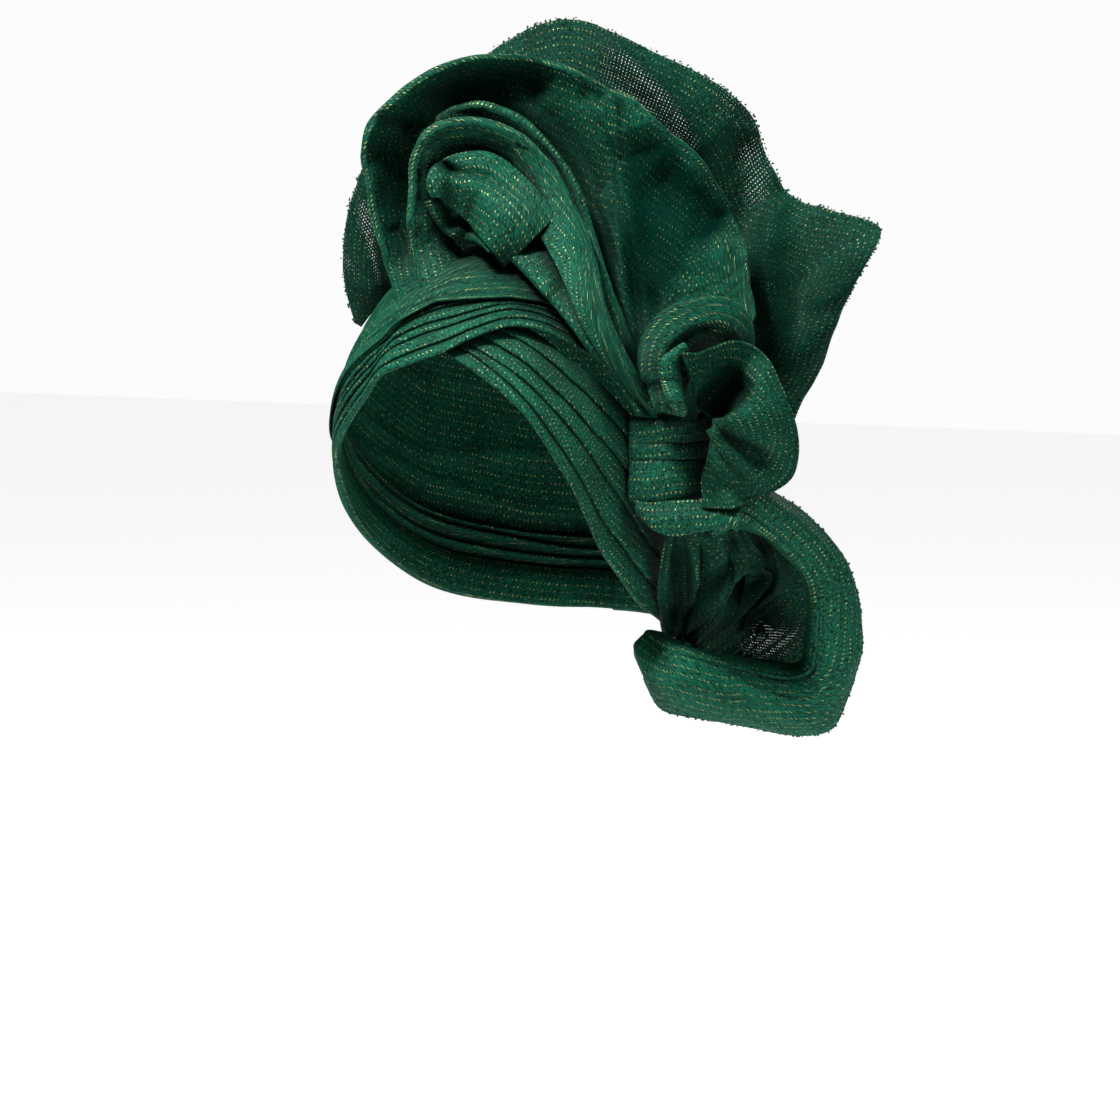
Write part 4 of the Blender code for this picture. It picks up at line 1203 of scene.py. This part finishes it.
def band_profile(pleats, spread, tuck):
    """A pleated band as one folded sheet, from its inner hem on: shares up it, and lifts."""
    line = list(INNER_HEM)
    bounds = np.concatenate([[0.0], (np.arange(1, pleats) + spread[:pleats - 1]) / pleats, [1.0]])
    for pleat in range(pleats):
        low = bounds[pleat]
        width = bounds[pleat + 1] - low
        top = WOUND + PLEAT_STEP + PLEAT_BULGE * 0.4
        if pleat:
            line.append((low + tuck * width, 0.0012))
            line.append((low + 0.5 * tuck * width, 0.0015))
            line.append((low + EDGE_REACH * width, 0.0019))
        for turn in np.linspace(-60, 80, 6):
            angle = math.radians(turn)
            radius = 0.5 * (top - PLEAT_EDGE)
            share = low + EDGE_REACH * width * (1 - math.cos(angle))
            line.append((share, PLEAT_EDGE + radius * (1 + math.sin(angle))))
        for t in np.linspace(0.12, 1.0, 9):
            bulge = PLEAT_BULGE * math.sin(math.pi * t)
            line.append((low + width * t, top - PLEAT_FALL * t + bulge))
        line.append((low + width * (1 + 0.6 * tuck), 0.0016))
        line.append((low + width * (1 + tuck), 0.0010))
    return np.array(line)


def fine_band(rows, pleats, count, over, seed):
    """A wound band drawn as one pleated sheet."""
    hems = smooth_rows(rows, count)
    grid = []
    for station, (side, low, high) in enumerate(hems):
        base = STACK * stacked(side) if over else 0.0
        place = station / count
        spread = 0.30 * noise(np.full(pleats, 5.0 * place), np.arange(pleats) * 2.7, seed)
        line = []
        for share, lift in band_profile(pleats, spread, PLEAT_TUCK):
            height = level(low + min(share, 1.0) * (high - low))
            line.append(head_point(math.radians(side), height, base + lift))
        grid.append(line)
    return np.array(grid)


def fine_knot(count):
    """The turn round the knot, drawn as one sheet with its edges turned in and three soft folds."""
    grid = []
    for t in np.linspace(0.0, 1.0, count):
        spine, normal = knot_spine(t)
        bend = max(math.sin(math.pi * t), 0.0)
        if t > 0.5:
            spine = spine + (knot_spine(0.5)[1] * KNOT_REACH) * (bend ** 0.45 - bend ** 0.85)
        line = [(share, KNOT_HEM) for share in (0.70, 0.85, 0.95)]
        wave = noise(np.array([0, t * 3, t * 3 + 9, 0]), np.arange(4) * 3.1, 5)
        bounds = np.array([1.0, 0.48 + 0.04 * t, 0.27 - 0.06 * t, 0.0])
        bounds += np.array([0.0, 0.07, 0.05, 0.0]) * wave
        for low, high in zip(bounds, bounds[1:]):
            for s in np.linspace(0.0, 1.0, 16):
                arch = 0.72 + 0.28 * math.sin(math.pi * s) ** 0.8
                lift = KNOT_FOLD + (KNOT_WALL + KNOT_SWELL * 0.8 - KNOT_FOLD) * arch
                line.append((low + (high - low) * s, lift))
        line += [(share, KNOT_HEM) for share in (0.05, 0.15, 0.30)]
        grid.append([spine + normal * lift + knot_drop(t, share) for share, lift in line])
    return np.array(grid)


def open_places(grid, places, base):
    """How open the weave is at each point: a base value, and more round some places."""
    across, rise = flare_shares(grid)
    value = np.full(across.shape, base)
    for u, v, reach_across, reach_up, lean, gain in places:
        x = (across - u) * FLARE_WIDTH
        y = (rise - v) * FLARE_HEIGHT
        turn = math.radians(lean)
        p = (x * math.cos(turn) + y * math.sin(turn)) / reach_across
        q = (-x * math.sin(turn) + y * math.cos(turn)) / reach_up
        value += gain * np.exp(-(p * p + q * q) ** 2)
    return value


def tufts(name, line, outward, seed, material):
    """The knotted ends of a raw selvedge along a line of points, as one small mesh."""
    dice = np.random.default_rng(seed)
    steps = np.linalg.norm(np.diff(line, axis=0), axis=1)
    length = np.concatenate([[0.0], np.cumsum(steps)])
    count = int(length[-1] / TUFT_STEP)
    places = np.sort(dice.uniform(0, length[-1], count))
    middle = np.stack([np.interp(places, length, column) for column in line.T], axis=1)
    away = np.stack([np.interp(places, length, column) for column in outward.T], axis=1)
    shape = bmesh.new()
    for point, out in zip(middle, unit(away)):
        size = TUFT * dice.uniform(0.45, 1.05)
        stretch = Matrix.Diagonal((*(dice.uniform(0.7, 1.35, 3)), 1.0))
        place = point + out * dice.uniform(-0.0004, 0.0013) + dice.uniform(-0.0004, 0.0004, 3)
        where = Matrix.Translation(place) @ stretch
        bmesh.ops.create_icosphere(shape, subdivisions=1, radius=size, matrix=where)
    piece = built(name, shape)
    faces = piece.data.polygons
    faces.foreach_set("use_smooth", np.ones(len(faces), dtype=bool))
    piece.data.materials.append(material)
    return piece


class Nodes:
    """Short ways to wire shader nodes."""

    def __init__(self, material):
        self.tree = material.node_tree

    def add(self, kind, *inputs, **settings):
        node = self.tree.nodes.new(kind)
        for key, value in settings.items():
            setattr(node, key, value)
        for place, value in enumerate(inputs):
            if value is not None:
                self.put(node.inputs[place], value)
        return node

    def put(self, socket, value):
        if isinstance(value, bpy.types.NodeSocket):
            self.tree.links.new(value, socket)
        else:
            socket.default_value = value

    def math(self, operation, *inputs):
        return self.add("ShaderNodeMath", *inputs, operation=operation).outputs[0]

    def plus(self, first, second):
        return self.math("ADD", first, second)

    def minus(self, first, second):
        return self.math("SUBTRACT", first, second)

    def times(self, first, second):
        return self.math("MULTIPLY", first, second)

    def clamp(self, value):
        return self.add("ShaderNodeClamp", value).outputs[0]

    def wave(self, value, step):
        """A ripple with a crest in each step."""
        return self.math("ABSOLUTE", self.math("SINE", self.times(value, math.pi / step)))

    def near(self, value, centre, half):
        """1 where a value is within half of a centre, and 0 elsewhere."""
        return self.math("LESS_THAN", self.math("ABSOLUTE", self.minus(value, centre)), half)

    def attribute(self, name):
        return self.add("ShaderNodeAttribute", attribute_name=name).outputs["Fac"]

    def random(self, dimensions, socket, value):
        node = self.add("ShaderNodeTexWhiteNoise", noise_dimensions=dimensions)
        self.put(node.inputs[socket], value)
        return node.outputs["Value"]

    def noise(self, place, detail, along, aside):
        """Noise with so many lumps to the metre along and aside."""
        mapped = self.add("ShaderNodeMapping", place)
        mapped.inputs["Scale"].default_value = (along, aside, 1)
        node = self.add("ShaderNodeTexNoise")
        self.put(node.inputs["Vector"], mapped.outputs[0])
        node.inputs["Scale"].default_value = 1.0
        node.inputs["Detail"].default_value = detail
        return node.outputs["Fac"]

    def mix(self, share, first, second):
        node = self.add("ShaderNodeMix", data_type="RGBA")
        self.put(node.inputs[0], share)
        self.put(node.inputs[6], first)
        self.put(node.inputs[7], second)
        return node.outputs[2]


def gele_cloth(name, dark, light, gold):
    """Green woven cloth with rows of short gold dashes, painted light and shade, and holes where
    the weave is open.
    """
    material = bpy.data.materials.new(name)
    material.use_nodes = True
    nodes = Nodes(material)
    place = nodes.add("ShaderNodeTexCoord").outputs["UV"]
    along, aside, _ = nodes.add("ShaderNodeSeparateXYZ", place).outputs
    # painted light and shade: lighter or darker for each piece, and darker in creases
    painted_light_and_shade = nodes.attribute("tone")
    looseness = nodes.attribute("open")

    # the weave: threads both ways, thicker and thinner by turns
    threads = nodes.times(nodes.plus(nodes.wave(along, THREAD), nodes.wave(aside, THREAD)), 0.5)
    slubs = nodes.plus(nodes.noise(place, 3.0, 460, 1500), nodes.noise(place, 3.0, 1500, 460))
    streaks = nodes.times(slubs, 0.5)
    soft = nodes.noise(place, 4.0, 34, 34)
    height = nodes.plus(nodes.times(threads, 0.45), nodes.times(streaks, 1.3))

    # rows of dashes in pairs, each dash across its row
    row_place = nodes.plus(aside, nodes.times(nodes.minus(soft, 0.5), ROW_WANDER))
    row = nodes.math("FLOORED_MODULO", row_place, ROW_STEP)
    first = nodes.near(row, DASH_WIDTH, DASH_WIDTH / 2)
    second = nodes.near(row, DASH_WIDTH + ROW_GAP, DASH_WIDTH / 2)
    in_row = nodes.math("MAXIMUM", first, second)
    row_number = nodes.math("FLOOR", nodes.math("DIVIDE", row_place, ROW_GAP))
    moved = nodes.plus(along, nodes.times(nodes.random("1D", "W", row_number), DASH_STEP))
    step = nodes.math("FLOORED_MODULO", moved, DASH_STEP)
    in_dash = nodes.near(step, DASH_STEP / 2, DASH_LENGTH / 2)
    dash_number = nodes.math("FLOOR", nodes.math("DIVIDE", moved, DASH_STEP))
    pair = nodes.add("ShaderNodeCombineXYZ", dash_number, row_number).outputs[0]
    luck = nodes.math("POWER", nodes.random("2D", "Vector", pair), 1.8)
    shine = nodes.times(luck, nodes.times(nodes.noise(place, 2.0, 60, 140), 2.4))
    # the gold is dimmed by painted shade and brightened by painted light
    dash = nodes.times(nodes.times(in_row, in_dash), nodes.times(shine, painted_light_and_shade))
    dash = nodes.clamp(dash)

    # the green, with painted light and shade from the tone attribute, painted shade in hollows, and
    # darker where the weave is loose
    tone = nodes.plus(nodes.times(streaks, 4.8), nodes.times(soft, 0.8))
    tone = nodes.times(nodes.clamp(nodes.minus(tone, 2.38)), painted_light_and_shade)
    tone = nodes.times(tone, nodes.clamp(nodes.minus(1.0, nodes.times(looseness, 0.9))))
    green = nodes.mix(tone, (*dark, 1), (*light, 1))
    colour = nodes.mix(dash, green, (*gold, 1))
    # painted shade: the colour goes darker where hollows close in
    hollow = nodes.add("ShaderNodeAmbientOcclusion", samples=3)
    hollow.inputs["Distance"].default_value = HOLLOW_SHADE_REACH
    shade = nodes.math("POWER", hollow.outputs["AO"], 2.2)
    colour = nodes.mix(shade, (*(0.25 * value for value in dark), 1), colour)

    # holes between the threads where the weave is open
    half = nodes.times(looseness, nodes.times(nodes.noise(place, 2.0, 420, 420), OPEN_STEP * 0.75))
    hole = 1.0
    for value, step in ((along, OPEN_STEP), (aside, OPEN_STEP * 0.8)):
        gap = nodes.near(nodes.math("FLOORED_MODULO", value, step), step / 2, half)
        hole = nodes.times(hole, gap)

    bump = nodes.add("ShaderNodeBump")
    bump.inputs["Strength"].default_value = 0.55
    bump.inputs["Distance"].default_value = 0.0007
    nodes.put(bump.inputs["Height"], height)
    # the specular and sheen are dimmed by painted shade
    gloss_in_painted_light = nodes.clamp(painted_light_and_shade)
    shader = material.node_tree.nodes["Principled BSDF"]
    for socket, value in (
        ("Base Color", colour),
        ("Roughness", nodes.minus(0.62, nodes.times(dash, 0.30))),
        ("Metallic", nodes.times(dash, 0.35)),
        ("Normal", bump.outputs[0]),
        ("Specular IOR Level", nodes.times(gloss_in_painted_light, 0.16)),
        ("Sheen Weight", nodes.times(gloss_in_painted_light, 0.10)),
        ("Sheen Roughness", 0.35),
        ("Sheen Tint", (0.10, 0.9, 0.5, 1)),
        ("Alpha", nodes.minus(1.0, hole)),
    ):
        nodes.put(shader.inputs[socket], value)
    return material


def plain(name, colour, roughness):
    material = bpy.data.materials.new(name)
    material.use_nodes = True
    shader = material.node_tree.nodes["Principled BSDF"]
    shader.inputs["Base Color"].default_value = (*colour, 1)
    shader.inputs["Roughness"].default_value = roughness
    return material


def add_light(name, location, target, size, energy):
    lamp = bpy.data.lights.new(name, "AREA")
    lamp.shape = "DISK"
    lamp.size = size
    lamp.energy = energy
    light = add_object(name, lamp)
    light.location = location
    light.rotation_mode = "QUATERNION"
    aim = Vector(target) - Vector(location)
    light.rotation_quaternion = aim.to_track_quat("-Z", "Y")


def studio():
    """A pale floor, a white surround and soft lights."""
    mesh = bpy.data.meshes.new("floor")
    sides = ((-1, -1), (1, -1), (1, 1), (-1, 1))
    corners = [(x * FLOOR_REACH, y * FLOOR_REACH, 0) for x, y in sides]
    mesh.from_pydata(corners, [], [(0, 1, 2, 3)])
    floor = add_object("floor", mesh)
    floor.location = (0, 0, FLOOR_LEVEL)
    pale = plain("floor", (0.93, 0.93, 0.93), 0.9)
    glow = Nodes(pale)
    seen = glow.add("ShaderNodeLightPath").outputs["Is Camera Ray"]
    shader = pale.node_tree.nodes["Principled BSDF"]
    shader.inputs["Emission Color"].default_value = (1, 1, 1, 1)
    glow.put(shader.inputs["Emission Strength"], glow.times(seen, FLOOR_SEEN))
    floor.data.materials.append(pale)

    world = bpy.data.worlds.new("surround")
    bpy.context.scene.world = world
    bpy.context.scene.view_settings.view_transform = "Standard"
    world.use_nodes = True
    nodes = Nodes(world)
    seen = nodes.add("ShaderNodeLightPath").outputs["Is Camera Ray"]
    strength = nodes.plus(SURROUND, nodes.times(seen, SURROUND_SEEN))
    background = world.node_tree.nodes["Background"]
    nodes.put(background.inputs["Color"], (1, 1, 1, 1))
    nodes.put(background.inputs["Strength"], strength)

    right, back, up = camera_axes()
    middle = np.array(LIT_MIDDLE)
    for name, aside, rise, near, size, energy in LIGHTS:
        place = middle + aside * right + rise * up + near * back
        add_light(name, place, middle, size, energy)


def camera_axes():
    """The camera's right, backward and up directions."""
    turn = math.radians(CAMERA_TURN)
    lift = math.radians(CAMERA_LIFT)
    right = np.array([math.cos(turn), math.sin(turn), 0.0])
    flat = math.cos(lift)
    back = np.array([math.sin(turn) * flat, -math.cos(turn) * flat, math.sin(lift)])
    return right, back, np.cross(back, right)


def add_camera():
    right, back, up = camera_axes()
    lens = bpy.data.cameras.new("camera")
    lens.sensor_width = 36.0
    lens.lens = CAMERA_LENS
    lens.clip_start = 0.05
    lens.clip_end = 20.0
    camera = add_object("camera", lens)
    place = back * CAMERA_AWAY + right * CAMERA_ASIDE + up * CAMERA_RAISED
    turned = Matrix((right, up, back)).transposed().to_4x4()
    camera.matrix_world = Matrix.Translation(place) @ turned
    bpy.context.scene.camera = camera


def fine_grids(made):
    """The fine grid of each piece, by name, from the coarse pieces."""
    grids = {}
    for name in FINE:
        grid = fine_strip(name, made[name], made)
        grids[name] = creased(name, raised(grid, strip_height(grid, *RELIEF[name])))
    spokes, rings, skirt = CROWN_GRID
    turns = np.linspace(-180, 180, spokes)
    grid = np.array([crown_skirt(turn, skirt) + crown_line(turn, rings) for turn in turns])
    grids["crown_wrap"] = raised(grid, crown_height(grid))
    for name, (rows, pleats, count, over, seed) in FINE_BANDS.items():
        grid = fine_band(rows, pleats, count, over, seed)
        along, aside = lengths(grid)
        grids[name] = raised(grid, 0.00035 * noise(along / 0.028, aside / 0.006, seed))
    grid = fine_knot(KNOT_ROWS)
    along, aside = lengths(grid)
    relief = 0.0007 * noise(along / 0.012, aside / 0.006, 31)
    relief += 0.0004 * noise(along / 0.03, aside / 0.003, 32)
    grids["knot_wrap"] = raised(grid, relief)
    for name, (rows, columns, coarse_columns) in FINE_SHEETS.items():
        corners = [vertex.co for vertex in made[name].data.vertices]
        coarse = np.array(corners).reshape(-1, coarse_columns, 3)
        if name == "side_shell":
            coarse = np.concatenate([coarse, 1.6 * coarse[-1:] - 0.6 * coarse[-2:-1]])
        if name == "tail_gathers":
            coarse[:, -1] += FOOT_REACH * (coarse[:, -1] - coarse[:, -2])
        grid = refine(coarse, rows, columns)
        grids[name] = raised(grid, sheet_height(name, grid))
    return grids


def cloth_places(name, grid):
    """How far each point of the cloth lies along the rows of gold, and across them, in metres."""
    along, aside = lengths(grid)
    if name in EVEN_ROWS:
        along = along[:, -1:] + 0 * along
    if name in ROWS_FROM:
        aside = np.abs(aside - aside[:, ROWS_FROM[name], None])
    return (aside, along) if name in ROWS_ACROSS else (along, aside)


def dress():
    """Every piece of the tie as fine cloth, riding on the root in place of its solid."""
    close = gele_cloth("close_weave", *CLOSE_COLOURS)
    sheer = gele_cloth("open_weave", *OPEN_COLOURS)
    selvedge = plain("selvedge", (0.008, 0.10, 0.06), 0.8)
    made = tied_pieces()
    bpy.context.view_layer.update()
    grids = fine_grids(made)
    for piece in made.values():
        bpy.data.objects.remove(piece, do_unlink=True)

    for name, (flat, held, rests_on) in SHEETS.items():
        grid = grids[name]
        loose = name in OPEN_WOVEN
        openness = open_places(grid, OPEN_PLACES.get(name, ()), OPEN_BASE.get(name, 0.0))
        # painted shade in creases and along lines of shade, and painted light and shade for each
        # piece
        valley = np.minimum(creases(grid, CREASES.get(name, ())), 0)
        shade = VALLEY_PAINTED_SHADE * valley + creases(grid, PAINTED_SHADES.get(name, ()))
        painted_light_and_shade = PAINTED_LIGHT_BY_PIECE.get(name, 1.0) * np.clip(1 + shade, DARKEST_PAINTED_SHADE, 1)
        places = cloth_places(name, grid)
        weave = sheer if loose else close
        piece = dressed(name + "_cloth", grid, weave, *places, openness, painted_light_and_shade)
        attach(piece, "root")
        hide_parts(name)
        if name in SELVEDGES:
            column, start, end = SELVEDGES[name]
            first = int(start * (len(grid) - 1))
            last = int(end * (len(grid) - 1)) + 1
            line = grid[first:last, column]
            inner = grid[first:last, column + (3 if column == 0 else -3)]
            knots = tufts(name + "_selvedge", line, line - inner, 41, selvedge)
            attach(knots, "root")


def crown_skirt(degrees, rings):
    """Points below the crown's rim, where its hem goes down over the bands at the back."""
    drop = 0.014 * max(ramp(-degrees, 35, 60), ramp(degrees, 95, 120))
    side = math.radians(degrees)
    table = np.array(CROWN_RIM, dtype=float)
    rim = level(np.interp(degrees, table[:, 0], table[:, 1]))
    lip = BAND_OUTER + GAP + LAP_ROOM + STACK * stacked(degrees) + CLOTH / 2
    drop = max(drop, 0.0004)
    return [head_point(side, rim - drop * (1 - ring / rings), lip) for ring in range(rings)]


def crown_height(grid):
    """Flat pleats that run round the crown above the band, and soft puckers."""
    along, aside = lengths(grid)
    share = aside / np.maximum(aside[:, -1:], 1e-6)
    height = np.zeros(share.shape)
    for edge, depth in ((0.10, 0.0014), (0.21, 0.0011), (0.36, 0.0009)):
        drift = edge + 0.03 * noise(along / 0.07, np.zeros(share.shape), int(edge * 100))
        height -= depth * np.exp(-(((share - drift) / 0.018) ** 2))
    return height + 0.0005 * noise(along / 0.035, aside / 0.009, 11) * np.clip(1.3 - share, 0, 1)


def sheet_height(name, grid):
    """The relief of the sheets that aren't folded strips."""
    _, aside = lengths(grid)
    share = aside / np.maximum(aside[:, -1:], 1e-6)
    height = creases(grid, CREASES.get(name, ()))
    turn = np.linspace(0, 1, grid.shape[0])[:, None] + 0 * share
    if name == "back_fan":
        height += 0.0030 * noise(turn * 26, share * 0.8, 12) * share
        height += 0.0012 * noise(turn * 70, share * 1.5, 13) * share
    if name == "side_shell":
        height -= SHELL_TUCK * np.clip((turn - 0.66) / 0.34, 0, 1) ** 1.5 * (1 - 0.8 * share)
        height += 0.0012 * noise(turn * 14, share * 1.2, 14) * np.sqrt(share)
        height += 0.0009 * np.exp(-(((share - 0.985) / 0.012) ** 2))
    if name == "tail_gathers":
        height += 0.0011 * noise(turn * 34, share * 2.0, 15) - FOOT_SINK * share ** 2
        height += 0.0005 * noise(turn * 80, share * 3.0, 16)
    return height


dress()
studio()
add_camera()
